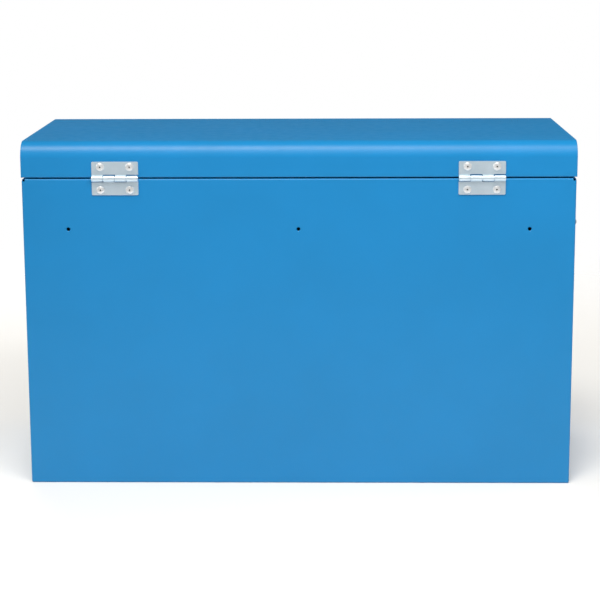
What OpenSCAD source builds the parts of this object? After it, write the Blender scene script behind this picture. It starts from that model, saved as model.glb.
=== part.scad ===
// Portable steel tool box: a case with three drawers on ball slides, an open till
// above them, and a lid on two riveted hinges at the back.
// X runs across the width, the front faces -Y, and Z is up from the floor.
// Left and right are those of a person who stands in front of the drawers.

/* [Case] */
// Width of the case over its side walls
case_w = 510; // [440:5:620]
// Depth of the case from its front posts to its back wall
case_d = 220; // [210:5:280]
// Height of the closed box, from the floor to the top of the lid
box_h = 325; // [310:5:400]
// Thickness of the body sheet
sheet_t = 0.8; // [0.6:0.1:1]
// Outer radius of the upright bends at the corners
bend_r = 1.5; // [1.2:0.1:3]
// Width of the flange turned in round the top rim
rim_flange = 8; // [7:0.5:10]
// Width of the flange turned in under the walls
foot_flange = 10; // [8:0.5:14]
// Width of each front post beside the drawers
post_w = 16; // [15:0.5:22]
// Radius of the relief cut in the corners of the rim
relief_r = 2.2; // [1.9:0.1:3]
// Height of the turned-up edges of the base pan and the till floor
pan_edge_h = 11; // [8:0.5:14]
// Play between sheets that are welded face to face
weld_gap = 0.1; // [0.05:0.05:0.2]

/* [Back holes] */
// Diameter of the screw holes in the back wall
screw_hole_d = 3.2; // [2.8:0.1:5]
// Spacing of the three screw holes
screw_pitch = 213; // [180:1:215]
// Distance of the screw holes below the rim
screw_drop = 47; // [40:1:60]

/* [Till] */
// Height of the till's front panel
till_h = 83; // [75:1:100]
// Height of the till's floor above its panel's lower edge
till_lift = 5; // [1:0.5:8]
// Thickness of the mats in the till and the drawers
mat_t = 2; // [1:0.5:3]
// Gap between a mat and the walls round it
mat_gap = 1; // [0.5:0.5:2]

/* [Lid] */
// Height of the lid
lid_h = 32.7; // [30:0.1:45]
// Gap between the lid and the case
lid_gap = 1.2; // [1:0.1:2]
// Distance the lid stands out past each side wall
lid_over = 0.4; // [0.2:0.1:1]
// Outer radius of the lid's long edges
lid_edge_r = 15; // [8:0.5:16]
// Width of the flange turned in under the lid's walls
lid_return = 6; // [4:0.5:7]
// Width of the weld flange inside each end of the lid
lid_weld = 8; // [5:0.5:9]
// Diameter of the rubber bumpers on the rim
bumper_d = 6; // [5:0.5:7]
// Diameter of a bumper's stem
bumper_stem_d = 3; // [2.5:0.1:3.5]
// Distance of the bumpers from the front and the back
bumper_inset = 20; // [14:1:30]

/* [Hinges] */
// Distance of each hinge's middle from the nearer side wall
hinge_inset = 86.5; // [60:0.5:130]
// Width of a hinge
hinge_w = 43; // [40:0.5:60]
// Height of one hinge leaf from the pin
leaf_h = 15.5; // [15:0.5:17]
// Thickness of the leaves
leaf_t = 1.1; // [0.9:0.1:1.2]
// Diameter of the hinge pins
hinge_pin_d = 3; // [2.8:0.1:3.2]
// Wall of the knuckles round the pin
knuckle_wall = 1.2; // [1.1:0.1:1.3]
// Slit between neighbouring knuckles
knuckle_slit = 0.4; // [0.3:0.1:0.6]
// Spacing of a leaf's two rivets
hinge_rivet_pitch = 27; // [20:0.5:30]
// Height of the rivets above and below the pin
hinge_rivet_rise = 10.6; // [9.5:0.1:11]

/* [Rivets] */
// Diameter of the rivet shanks
rivet_d = 4; // [3.2:0.1:4.4]
// Diameter of the rivet heads
rivet_head_d = 7.8; // [7:0.1:8]
// Height of the rivet heads
rivet_head_h = 1.7; // [1.2:0.1:2]
// Diameter of the hole left by the mandrel
mandrel_d = 1.4; // [1:0.1:1.8]
// Diameter of the set ends inside
rivet_tail_d = 5.6; // [5:0.1:6]
// Length of the set ends inside
rivet_tail_h = 2.4; // [1.8:0.1:3]

/* [Lid stays] */
// Distance of a stay's pivot and stud from the hinge line
stay_reach = 45; // [42:0.5:50]
// Height of the pivot above the hinge line, and of the stud below it
stay_rise = 12; // [11:0.5:13]
// Furthest opening of the lid in degrees
lid_open = 100; // [90:1:105]
// Width of a stay arm
stay_w = 11; // [10:0.5:13]
// Thickness of a stay arm
stay_t = 1.5; // [1:0.1:2]
// Diameter of the studs where the arm turns and slides
stud_d = 5; // [4:0.1:5.4]
// Diameter of the spacer that holds the arm off the wall
stud_spacer_d = 8; // [7:0.1:9]
// Diameter and height of the studs' heads
stud_head = [9, 1.5]; // [7:0.1:11]
// Distance of the arm inside the rim flange
stay_inset = 2; // [1.5:0.1:3]
// Play of the arm on its studs and in its slot
stay_play = 0.3; // [0.2:0.05:0.4]

/* [Lock] */
// Distance of the lock below the rim
lock_drop = 29; // [27:0.5:34]
// Diameter of the lock barrel
barrel_d = 19; // [16:0.5:20]
// Diameter and thickness of the barrel's face
barrel_face = [23, 2]; // [18:0.5:26]
// Length of the barrel behind the panel
barrel_len = 14; // [12:0.5:15]
// Diameter of the turning plug
plug_d = 12; // [9:0.5:13]
// Width and height of the keyhole
keyhole = [1.4, 7]; // [1:0.1:8]
// Width across the corners and thickness of the lock nut
lock_nut = [26, 3]; // [24:0.5:28]
// Length of the cam from the lock's axis to its tip
cam_len = 24; // [20:0.5:26]
// Width of the cam
cam_w = 8; // [7:0.5:9]
// Thickness of the cam
cam_t = 2; // [1.5:0.1:2.5]
// Width of the strike on the lid
strike_w = 14; // [12:0.5:18]
// Thickness of the strike
strike_t = 1.5; // [1:0.1:2]
// Play between the lock's cam and the strike
lock_play = 1; // [0.6:0.1:1.5]

/* [Drawers] */
// Height of each of the two shallow drawer fronts
shallow_h = 56.5; // [54:0.5:58]
// Gap round the drawer fronts
front_gap = 2.5; // [2:0.1:3]
// Gap between a drawer front and the posts
side_gap = 1; // [0.8:0.1:2]
// Depth of the drawer fronts
front_d = 12; // [8:0.5:14]
// Height of a drawer pan's floor above its front's lower edge
pan_lift = 5; // [4:0.5:8]
// Distance of a drawer pan's rim below its front's upper edge
pan_drop = 7; // [5:0.5:8]
// Height of the folded hem round a drawer pan's rim
hem_h = 6; // [4:0.5:8]
// Distance of a closed drawer pan from the back wall
pan_clear = 13; // [8:0.5:20]
// How far the drawers pull out
drawer_travel = 140; // [100:5:142]

/* [Drawer pulls] */
// Length left bare at each end of a drawer pull
pull_end = 3; // [2:0.5:20]
// Height of the pull's back leg
pull_h = 16; // [13:0.5:20]
// Distance the pull stands out from the drawer front
pull_out = 9; // [8:0.5:9]
// Height of the pull's lip
lip_h = 7.5; // [6.5:0.5:9]
// Outer radius of the pull's bend
pull_r = 3; // [2:0.5:4]
// Thickness of the pulls
pull_t = 1.4; // [1:0.1:1.6]
// Distance of a pull below its front's upper edge
pull_drop = 2; // [1:0.5:4]

/* [Slides] */
// Height of a drawer slide
slide_h = 35; // [33:0.5:36]
// Width of a drawer slide from upright to drawer
slide_w = 12.5; // [12:0.1:13]
// Thickness of the slide sections
slide_t = 1; // [0.8:0.1:1.1]
// Diameter of the slide balls
ball_d = 3; // [2.6:0.1:3.2]
// Running gap between the balls and the sections
ball_gap = 0.3; // [0.2:0.05:0.4]
// Number of balls in each row
balls = 6; // [3:1:7]
// Spacing of the balls along a row
ball_pitch = 13; // [8:0.5:13]
// Thickness of the ball cages
cage_t = 0.8; // [0.6:0.1:1]
// Width of each slide upright
upright_w = 30; // [20:1:36]
// Width of an upright's weld flanges
upright_flange = 8; // [6:0.5:10]
// Distance of the uprights from the ends of the slides
upright_inset = 6; // [2:1:12]

/* [Side handles] */
// Distance of a handle's pivot below the rim
handle_drop = 51; // [48:0.5:54]
// Length, height and thickness of a handle plate
handle_plate = [112, 24, 1.5]; // [1:0.1:116]
// Radius of the plates' corners
plate_corner_r = 3; // [1:0.5:6]
// Distance of the pivot out from the side wall
pivot_out = 6.2; // [6:0.1:6.6]
// Diameter of the bail wire
wire_d = 5; // [4.4:0.1:5]
// Distance between the outer faces of the two ears
ear_span = 89; // [84:0.5:89]
// Length of each ear along the pivot
ear_len = 6; // [5:0.5:7]
// Outer diameter of the ears round the wire
ear_d = 7.4; // [7.2:0.1:7.8]
// Radius of the upper bends of the bail, at the wire's middle
ear_bend_r = 4; // [3.5:0.1:5]
// Radius of the lower bends of the bail, at the wire's middle
bail_bend_r = 8; // [6:0.5:9]
// Distance of the grip below the pivot
bail_drop = 38; // [34:0.5:42]
// Diameter of the grip sleeve
grip_d = 10; // [9:0.1:10.4]
// Length of the grip sleeve
grip_len = 48; // [40:0.5:50]
// Spacing of a handle plate's rivets along and up the plate
handle_rivets_at = [100.4, 14]; // [10:0.1:102]

/* [Hidden] */
$fn = 48;
RIGHT = 1;
LEFT = -1;
BOTTOM = 0;
MIDDLE = 1;
TOP = 2;
// Radial clearance of a shaft that turns in its hole, and of a rivet in its hole
running = 0.05;
// Length by which a cut runs past the face it opens
past = 1;

half_w = case_w / 2;
back_y = case_d / 2;
front_y = -back_y;
rim_z = box_h - lid_h - lid_gap;
lid_z = box_h - lid_h;
inner_x = half_w - sheet_t;
inner_y = back_y - sheet_t;
lid_half_w = half_w + lid_over;
opening_x = half_w - post_w;

// The hinge line
hinge_x = half_w - hinge_inset;
knuckle_r = hinge_pin_d / 2 + running + knuckle_wall;
knuckle_off = 0.1;
pin_y = back_y + knuckle_off + knuckle_r;
pin_z = rim_z + lid_gap / 2;
knuckles = 4;
knuckle_step = hinge_w / knuckles;

// The till
till_z = rim_z - till_h;
till_floor_z = till_z + till_lift;
screw_z = rim_z - screw_drop;

// The drawers, from the bottom up
panel_y = front_y + sheet_t;
bay_z = sheet_t + pan_edge_h + front_gap;
deep_h = till_z - bay_z - 2 * shallow_h - 3 * front_gap;
function front_h(i) = i == BOTTOM ? deep_h : shallow_h;
function front_z(i) = i == BOTTOM ? bay_z : bay_z + deep_h + front_gap + (i - 1) * (shallow_h + front_gap);
function pan_h(i) = front_h(i) - pan_lift - pan_drop;
function slide_z(i) = front_z(i) + pan_lift + pan_h(i) / 2;
drawer_half_w = opening_x - side_gap;
pan_y = front_y + front_d;
pan_end_y = inner_y - pan_clear;

// The slides, measured inward from the face of the uprights
upright_x = opening_x;
pan_half_w = upright_x - slide_w;
slide_y = pan_y + sheet_t + weld_gap;
slide_len = pan_end_y - slide_y;
race = slide_h / 2 - slide_t;
ball_z = race - ball_gap - ball_d / 2;
inner_race = ball_z - ball_d / 2 - ball_gap;
cage_gap = 0.4;
cage_len = (balls - 1) * ball_pitch + 2 * ball_d;
// The cage ends its travel at the mouth of the fixed rail, a little past it
cage_past = 1;
cage_y = slide_y + drawer_travel / 2 + cage_past;
cage_x = slide_t + cage_gap;
ball_x = cage_x + cage_t + cage_gap + ball_d / 2 + slide_t;
rail_w = slide_w - slide_t - cage_gap;
lip = 0.8;
upright_z = sheet_t + pan_edge_h + weld_gap;

// The lid stays: pivot and stud lie at one distance from the hinge line
stay_back = sqrt(stay_reach * stay_reach - stay_rise * stay_rise);
stay_y = pin_y - stay_back;
pivot_z = pin_z + stay_rise;
stud_z = pin_z - stay_rise;
stay_half_angle = asin(stay_rise / stay_reach);
stay_closed = 2 * stay_rise;
stay_open = 2 * stay_reach * sin(stay_half_angle + lid_open / 2);
stay_x = half_w - rim_flange - stay_inset;
stud_button_h = 1;

// The lock
lock_z = rim_z - lock_drop;
panel_back_y = panel_y + sheet_t;
cam_y = panel_back_y + barrel_len + lock_play;
strike_y = cam_y - lock_play - strike_t;
strike_x = barrel_d / 2 + lock_play + 1;
strike_foot = strike_t + 2 * lock_play + cam_t;
strike_foot_z = lock_z - cam_w / 2 - lock_play - strike_t;
strike_arm_z = lid_z + lid_return;
cam_screw_d = 7;
tail_d = 6;

// The handles
handle_z = rim_z - handle_drop;
pivot_x = half_w + pivot_out;
ear_out = ear_span / 2;
ear_in = ear_out - ear_len;
leg_y = ear_in - stay_play - ear_bend_r;

blue = [0.17, 0.54, 0.80];
zinc = [0.80, 0.83, 0.85];
dark = [0.13, 0.13, 0.14];
bright = [0.72, 0.74, 0.76];

// ---------- shapes that repeat ----------

// A piece drawn for the right side, put on the side named
module on_side(side) {
  mirror([side == LEFT ? 1 : 0, 0, 0]) children();
}

// A box between two corners
module block(low, high) {
  translate(low) cube(high - low);
}

// A rectangle with round corners, centred
module round_rect(size, r) {
  square([size.x - 2 * r, size.y], center = true);
  square([size.x, size.y - 2 * r], center = true);
  for (x = [-1, 1], y = [-1, 1])
    translate([x * (size.x / 2 - r), y * (size.y / 2 - r)]) circle(r);
}

// The outline of the case in plan, moved in by a distance
module plan(inset) {
  round_rect([case_w - 2 * inset, case_d - 2 * inset], max(bend_r - inset, 0.3));
}

// A cylinder along +X, and one along +Y
module rod_x(r, length) {
  rotate([0, 90, 0]) cylinder(r = r, h = length);
}
module rod_y(r, length) {
  rotate([-90, 0, 0]) cylinder(r = r, h = length);
}

// An outline in Y and Z, extruded along X between two values
module across(x0, x1) {
  translate([x0, 0, 0]) rotate([90, 0, 90]) linear_extrude(x1 - x0) children();
}

// A set blind rivet along Z, with its head on z = 0 and the sheets below
module rivet(grip) {
  dome_r = (pow(rivet_head_d / 2, 2) + pow(rivet_head_h, 2)) / (2 * rivet_head_h);
  difference() {
    union() {
      intersection() {
        translate([0, 0, rivet_head_h - dome_r]) sphere(dome_r);
        cylinder(r = rivet_head_d / 2, h = rivet_head_h + past);
      }
      translate([0, 0, -grip]) cylinder(r = rivet_d / 2, h = grip + rivet_head_h / 4);
      translate([0, 0, -grip - rivet_tail_h]) cylinder(r = rivet_tail_d / 2, h = rivet_tail_h);
    }
    translate([0, 0, rivet_head_h / 4]) cylinder(r = mandrel_d / 2, h = rivet_head_h);
  }
}

module rivet_hole() {
  depth = rivet_tail_h + handle_plate[2];
  translate([0, 0, -depth]) cylinder(r = rivet_d / 2 + running, h = 2 * depth);
}

// Places the children at the rivets of one leaf of both hinges, facing back
module at_leaf_rivets(up) {
  for (side = [LEFT, RIGHT], i = [-1, 1])
    translate([side * hinge_x + i * hinge_rivet_pitch / 2, back_y, pin_z + up * hinge_rivet_rise])
      rotate([-90, 0, 0]) children();
}

// Places the children at the rivets of the right handle, facing out
module at_handle_rivets() {
  for (i = [-1, 1], j = [-1, 1])
    translate([half_w, i * handle_rivets_at[0] / 2, handle_z + j * handle_rivets_at[1] / 2])
      rotate([0, 90, 0]) children();
}

// ---------- case ----------

module wall_ring(z, height, inset) {
  translate([0, 0, z]) linear_extrude(height) difference() {
    plan(inset);
    plan(inset + sheet_t);
  }
}

module flange_ring(z, width) {
  translate([0, 0, z]) linear_extrude(sheet_t) difference() {
    plan(0);
    square([case_w - 2 * width, case_d - 2 * width], center = true);
  }
}

module case_shell() {
  relief = relief_r - sheet_t;
  reach = max(rim_flange, foot_flange) + past;
  color(blue) difference() {
    union() {
      wall_ring(0, rim_z, 0);
      flange_ring(0, foot_flange);
      flange_ring(rim_z - sheet_t, rim_flange);
    }
    block([-opening_x, front_y - past, -past], [opening_x, front_y + reach, rim_z + past]);
    for (x = [-1, 1], y = [-1, 1])
      translate([x * (half_w - relief), y * (back_y - relief), rim_z - relief_r])
        cylinder(r = relief_r, h = relief_r + past);
    for (i = [-1:1])
      translate([i * screw_pitch, inner_y - past, screw_z]) rod_y(screw_hole_d / 2, sheet_t + 2 * past);
    at_leaf_rivets(-1) rivet_hole();
    for (side = [LEFT, RIGHT]) on_side(side) {
      at_handle_rivets() rivet_hole();
      translate([inner_x - past, stay_y, stud_z]) rod_x(rivet_d / 2 + running, sheet_t + 2 * past);
    }
    for (side = [LEFT, RIGHT]) on_side(side) at_bumpers() bumper_hole();
  }
}

module base_pan() {
  edge = sheet_t + weld_gap;
  color(blue) {
    translate([0, 0, sheet_t]) linear_extrude(sheet_t) plan(edge);
    wall_ring(sheet_t, pan_edge_h, edge);
  }
}

module till_front() {
  wing_x = inner_x - bend_r;
  color(blue) difference() {
    union() {
      block([-wing_x, panel_y, till_z], [wing_x, panel_back_y, rim_z - sheet_t - weld_gap]);
      block([weld_gap - opening_x, panel_y, till_z], [opening_x - weld_gap, panel_back_y, rim_z]);
      block([weld_gap - opening_x, panel_y, rim_z - sheet_t],
            [opening_x - weld_gap, front_y + rim_flange, rim_z]);
      block([-opening_x, panel_y, till_z], [opening_x, panel_back_y + foot_flange, till_z + sheet_t]);
    }
    translate([0, panel_y - past, lock_z]) rod_y(barrel_d / 2 + running, sheet_t + 2 * past);
  }
}

module till_floor() {
  edge = sheet_t + weld_gap;
  front = panel_back_y + weld_gap;
  side = half_w - edge;
  color(blue) {
    difference() {
      union() {
        translate([0, 0, till_floor_z]) linear_extrude(sheet_t) plan(edge);
        wall_ring(till_floor_z, pan_edge_h, edge);
      }
      block([-half_w, front_y, till_floor_z - past], [half_w, front, rim_z]);
    }
    block([-side, front, till_floor_z], [side, front + sheet_t, till_floor_z + pan_edge_h]);
  }
}

module till_mat() {
  side = inner_x - sheet_t - weld_gap - mat_gap;
  color(dark) block([-side, panel_back_y + mat_gap, till_floor_z + sheet_t],
                    [side, inner_y - sheet_t - weld_gap - mat_gap, till_floor_z + sheet_t + mat_t]);
}

// One hat-section upright of the right side, starting at the value of y given
module upright(y) {
  top = till_z - weld_gap;
  color(zinc) {
    block([upright_x, y, upright_z], [upright_x + sheet_t, y + upright_w, top]);
    for (e = [y, y + upright_w - sheet_t])
      block([upright_x, e, upright_z], [inner_x, e + sheet_t, top]);
    for (e = [y - upright_flange, y + upright_w - sheet_t])
      block([inner_x - sheet_t, e, upright_z],
            [inner_x, e + upright_flange + sheet_t, top]);
  }
}

module slide_uprights(side) {
  on_side(side) {
    upright(slide_y + upright_inset + upright_flange);
    upright(slide_y + slide_len - upright_inset - upright_flange - upright_w);
  }
}

// ---------- lid ----------

// The lid's end outline in Y and Z, moved in by a distance
module lid_outline(inset) {
  r = lid_edge_r - inset;
  side = back_y - inset;
  translate([-side, lid_z]) square([2 * side, lid_h - lid_edge_r]);
  translate([-back_y + lid_edge_r, lid_z])
    square([case_d - 2 * lid_edge_r, lid_h - inset]);
  for (y = [-1, 1])
    translate([y * (back_y - lid_edge_r), box_h - lid_edge_r]) circle(r);
}

module lid_band(outer, inner, from_z) {
  difference() {
    lid_outline(outer);
    lid_outline(inner);
    translate([-back_y, lid_z - past]) square([case_d, past + from_z - lid_z]);
    translate([-back_y + inner, lid_z - past]) square([case_d - 2 * inner, 2 * past]);
  }
}

module lid_shell() {
  x = lid_half_w - sheet_t;
  color(blue) difference() {
    union() {
      across(-x, x) lid_band(0, sheet_t, lid_z);
      for (y = [-back_y, back_y - lid_return])
        block([-x, y, lid_z], [x, y + lid_return, lid_z + sheet_t]);
    }
    at_leaf_rivets(1) rivet_hole();
  }
}

module lid_end(side) {
  x = lid_half_w - sheet_t;
  inner = sheet_t + weld_gap;
  return_y = back_y - lid_return - weld_gap;
  color(blue) on_side(side) difference() {
    union() {
      across(x, lid_half_w) lid_outline(0);
      across(x - lid_weld, x + sheet_t / 2)
        lid_band(inner, inner + sheet_t, lid_z + sheet_t + weld_gap);
      block([lid_half_w - lid_return, -return_y, lid_z], [lid_half_w, return_y, lid_z + sheet_t]);
    }
    translate([x - past, stay_y, pivot_z]) rod_x(rivet_d / 2 + running, sheet_t + 2 * past);
  }
}

// The strike reaches from the lid's front wall down past the cam
module lid_strike() {
  skirt = front_y + sheet_t;
  color(zinc) across(strike_x, strike_x + strike_w) {
    translate([skirt, strike_arm_z]) square([strike_t, lid_h - lid_edge_r - lid_return]);
    translate([skirt, strike_arm_z]) square([strike_y + strike_t - skirt, strike_t]);
    translate([strike_y, strike_foot_z]) square([strike_t, strike_arm_z + strike_t - strike_foot_z]);
    translate([strike_y, strike_foot_z]) square([strike_foot + strike_t, strike_t]);
  }
}

// Places the children on the right side's rim, front and back
module at_bumpers() {
  for (y = [-1, 1])
    translate([half_w - rim_flange / 2 - sheet_t / 2, y * (back_y - bumper_inset), rim_z]) children();
}

module bumper_hole() {
  translate([0, 0, -sheet_t - past]) cylinder(r = bumper_stem_d / 2 + running, h = sheet_t + 2 * past);
}

module lid_bumpers() {
  foot = 1;
  color(dark) for (side = [LEFT, RIGHT]) on_side(side) at_bumpers() {
    cylinder(r = bumper_d / 2, h = lid_gap - weld_gap);
    translate([0, 0, -sheet_t]) cylinder(r = bumper_stem_d / 2, h = sheet_t + lid_gap / 2);
    translate([0, 0, -sheet_t - foot]) cylinder(r = bumper_stem_d / 2 + foot / 2, h = foot);
  }
}

// ---------- hinges ----------

// True where knuckle i, counted from -X, belongs to the leaf on the lid
function on_lid(i) = i % 2 == 1;

// One leaf, centred on x = 0; up is 1 for the leaf on the lid and -1 for the case's
module hinge_leaf(side, up) {
  length = knuckle_step - knuckle_slit;
  notch = knuckle_r + stay_play;
  color(zinc) difference() {
    translate([side * hinge_x, 0, 0]) difference() {
      union() {
        translate([0, back_y + leaf_t, pin_z + up * leaf_h / 2]) rotate([90, 0, 0])
          linear_extrude(leaf_t) square([hinge_w, leaf_h], center = true);
        for (i = [0:knuckles - 1]) if (on_lid(i) == (up > 0))
          translate([-hinge_w / 2 + i * knuckle_step + knuckle_slit / 2, pin_y, pin_z])
            rod_x(knuckle_r, length);
      }
      for (i = [0:knuckles - 1]) if (on_lid(i) != (up > 0))
        translate([-hinge_w / 2 + i * knuckle_step, back_y - past, pin_z - notch])
          cube([knuckle_step, 2 * knuckle_r + 2 * past, 2 * notch]);
      for (i = [0, knuckles])
        translate([-hinge_w / 2 + i * knuckle_step - knuckle_slit / 2, back_y - past, pin_z - notch])
          cube([knuckle_slit, 2 * knuckle_r + 2 * past, 2 * notch]);
      translate([-hinge_w / 2 - past, pin_y, pin_z])
        rod_x(hinge_pin_d / 2 + running, hinge_w + 2 * past);
    }
    at_leaf_rivets(up) rivet_hole();
  }
}

module hinge_pin(side) {
  color(bright) translate([side * hinge_x - hinge_w / 2, pin_y, pin_z]) rod_x(hinge_pin_d / 2, hinge_w);
}

module hinge_rivets(up) {
  color(zinc) at_leaf_rivets(up) translate([0, 0, leaf_t]) rivet(leaf_t + sheet_t);
}

// ---------- lid stays ----------

module stay_arm(side) {
  slot_r = stud_d / 2 + stay_play;
  color(zinc) on_side(side) across(stay_x - stay_t, stay_x) translate([stay_y, pivot_z]) difference() {
    union() {
      translate([-stay_w / 2, -stay_open]) square([stay_w, stay_open]);
      circle(stay_w / 2);
      translate([0, -stay_open]) circle(stay_w / 2);
    }
    circle(stud_d / 2 + running);
    translate([-slot_r, -stay_open]) square([2 * slot_r, stay_open - stay_closed]);
    for (d = [stay_closed, stay_open]) translate([0, -d]) circle(slot_r);
  }
}

// A shouldered stud riveted through a right-hand wall, at a height z
module stay_stud(wall_x, z) {
  head_x = stay_x - stay_t - stay_play;
  translate([0, stay_y, z]) {
    translate([head_x - stud_head[1], 0, 0]) rod_x(stud_head[0] / 2, stud_head[1]);
    translate([head_x - stud_head[1] / 2, 0, 0]) rod_x(stud_d / 2, stay_x + stay_play + stud_head[1] - head_x);
    translate([stay_x + stay_play, 0, 0])
      rod_x(stud_spacer_d / 2, wall_x - sheet_t - stay_x - stay_play);
    translate([wall_x - 2 * sheet_t, 0, 0]) rod_x(rivet_d / 2, 2 * sheet_t + stud_button_h / 2);
    translate([wall_x, 0, 0]) rod_x(rivet_head_d / 2, stud_button_h);
  }
}

module stay_studs(wall_x, z) {
  color(bright) for (side = [LEFT, RIGHT]) on_side(side) stay_stud(wall_x, z);
}

// ---------- lock ----------

module lock_barrel() {
  color(bright) translate([0, 0, lock_z]) difference() {
    union() {
      translate([0, panel_y - barrel_face[1], 0]) rod_y(barrel_face[0] / 2, barrel_face[1]);
      translate([0, panel_y - past, 0]) rod_y(barrel_d / 2, past + sheet_t + barrel_len);
    }
    translate([0, panel_y - barrel_face[1] - past, 0])
      rod_y(plug_d / 2 + running, barrel_face[1] + barrel_len + 2 * past + sheet_t);
  }
}

module lock_nut() {
  color(zinc) translate([0, panel_back_y, lock_z]) rotate([-90, 0, 0]) difference() {
    cylinder(d = lock_nut[0], h = lock_nut[1], $fn = 6);
    translate([0, 0, -past]) cylinder(r = barrel_d / 2 + running, h = lock_nut[1] + 2 * past);
  }
}

module lock_plug() {
  face_y = panel_y - barrel_face[1];
  color(bright) translate([0, 0, lock_z]) difference() {
    union() {
      translate([0, face_y, 0]) rod_y(plug_d / 2, cam_y - face_y);
      translate([0, cam_y - past, 0]) rod_y(tail_d / 2, cam_t + past);
    }
    translate([-keyhole[0] / 2, face_y - past, -keyhole[1] / 2])
      cube([keyhole[0], barrel_len / 2 + past, keyhole[1]]);
  }
}

// The cam stands straight up when the lock is open, and swings down over the strike's foot
module lock_cam() {
  tip = cam_len - cam_w / 2;
  color(zinc) translate([0, cam_y + cam_t, lock_z]) rotate([90, 0, 0]) linear_extrude(cam_t) difference() {
    union() {
      circle(cam_w / 2 + past);
      translate([0, tip]) circle(cam_w / 2);
      translate([-cam_w / 2, 0]) square([cam_w, tip]);
    }
    circle(tail_d / 2 + running);
  }
}

module lock_cam_screw() {
  head_h = 2;
  color(dark) translate([0, cam_y + cam_t, lock_z]) difference() {
    rod_y(cam_screw_d / 2, head_h);
    translate([-cam_screw_d, head_h / 2, -sheet_t / 2]) cube([2 * cam_screw_d, head_h, sheet_t]);
  }
}

// ---------- side handles ----------

module handle_plate(side) {
  long = handle_plate[0] / 2;
  high = handle_plate[1] / 2;
  thick = handle_plate[2];
  color(bright) on_side(side) difference() {
    union() {
      translate([half_w, 0, handle_z]) rotate([90, 0, 90])
        linear_extrude(thick) round_rect([2 * long, 2 * high], plate_corner_r);
      for (y = [ear_in, -ear_out]) {
        block([half_w + thick / 2, y, handle_z - ear_d / 2], [pivot_x, y + ear_len, handle_z + ear_d / 2]);
        translate([pivot_x, y, handle_z]) rod_y(ear_d / 2, ear_len);
      }
    }
    translate([pivot_x, -ear_out - past, handle_z]) rod_y(wire_d / 2 + running, ear_span + 2 * past);
    at_handle_rivets() rivet_hole();
  }
}

module handle_rivets() {
  thick = handle_plate[2];
  color(zinc) for (side = [LEFT, RIGHT]) on_side(side)
    at_handle_rivets() translate([0, 0, thick]) rivet(thick + sheet_t);
}

// A quarter bend of the wire in Y and Z, from +Y round to +Z, about its centre
module wire_bend(r) {
  rotate([90, 0, 90]) rotate_extrude(angle = 90) translate([r, 0]) circle(wire_d / 2);
}

// Half of the bail, on +Y, hanging from the pivot at the origin
module half_bail() {
  foot_y = leg_y - bail_bend_r;
  translate([0, leg_y + ear_bend_r, 0]) rod_y(wire_d / 2, ear_out - leg_y - ear_bend_r);
  translate([0, leg_y + ear_bend_r, -ear_bend_r]) rotate([90, 0, 0]) wire_bend(ear_bend_r);
  translate([0, leg_y, -bail_drop + bail_bend_r])
    cylinder(r = wire_d / 2, h = bail_drop - bail_bend_r - ear_bend_r);
  translate([0, foot_y, -bail_drop + bail_bend_r]) rotate([-90, 0, 0]) wire_bend(bail_bend_r);
  translate([0, 0, -bail_drop]) rod_y(wire_d / 2, foot_y);
}

module handle_bail(side) {
  color(bright) on_side(side) translate([pivot_x, 0, handle_z]) {
    half_bail();
    mirror([0, 1, 0]) half_bail();
  }
}

module handle_grip(side) {
  color(dark) on_side(side) translate([pivot_x, -grip_len / 2, handle_z - bail_drop]) difference() {
    rod_y(grip_d / 2, grip_len);
    translate([0, -past, 0]) rod_y(wire_d / 2 + running, grip_len + 2 * past);
  }
}

// ---------- drawers ----------

module drawer_front(i) {
  z = front_z(i);
  x = drawer_half_w;
  color(blue) difference() {
    block([-x, front_y, z], [x, pan_y, z + front_h(i)]);
    block([-x + sheet_t, front_y + sheet_t, z + sheet_t],
          [x - sheet_t, pan_y + past, z + front_h(i) - sheet_t]);
  }
}

module drawer_pan(i) {
  z = front_z(i) + pan_lift;
  top = z + pan_h(i);
  wall = 2 * sheet_t;
  color(blue) difference() {
    block([-pan_half_w, pan_y, z], [pan_half_w, pan_end_y, top]);
    block([-pan_half_w + sheet_t, pan_y + sheet_t, z + sheet_t],
          [pan_half_w - sheet_t, pan_end_y - sheet_t, top - hem_h]);
    block([-pan_half_w + wall, pan_y + wall, top - hem_h - past],
          [pan_half_w - wall, pan_end_y - wall, top + past]);
  }
}

module drawer_mat(i) {
  z = front_z(i) + pan_lift + sheet_t;
  edge = sheet_t + mat_gap;
  color(dark) block([-pan_half_w + edge, pan_y + edge, z], [pan_half_w - edge, pan_end_y - edge, z + mat_t]);
}

// The outline of a pull in Y and Z, with its top back corner at the origin
module pull_hook(inset) {
  r = pull_r - inset;
  translate([-pull_out + inset, -lip_h]) square([pull_out - 2 * inset, lip_h - pull_r]);
  translate([-pull_out + pull_r, -lip_h]) square([pull_out - pull_r - inset, lip_h - inset]);
  translate([-pull_out + pull_r, -pull_r]) circle(r);
}

module drawer_pull(i) {
  x = drawer_half_w - pull_end;
  color(bright) across(-x, x) translate([front_y, front_z(i) + front_h(i) - pull_drop]) {
    translate([-pull_t, -pull_h]) square([pull_t, pull_h]);
    difference() {
      pull_hook(0);
      pull_hook(pull_t);
      translate([-pull_out + pull_t, -lip_h - past]) square([pull_out - 2 * pull_t, 2 * past]);
    }
  }
}

// Puts slide shapes, drawn inward from an upright's face, on a side at a drawer's height
module at_slide(side, i) {
  on_side(side) translate([upright_x, 0, slide_z(i)]) mirror([1, 0, 0]) children();
}

// The fixed rail: a channel with lips that keep the balls in
module rail() {
  block([0, slide_y, -slide_h / 2], [slide_t, slide_y + slide_len, slide_h / 2]);
  for (m = [0, 1]) mirror([0, 0, m]) {
    block([0, slide_y, race], [rail_w, slide_y + slide_len, slide_h / 2]);
    block([rail_w - slide_t, slide_y, race - lip], [rail_w, slide_y + slide_len, slide_h / 2]);
  }
}

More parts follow.
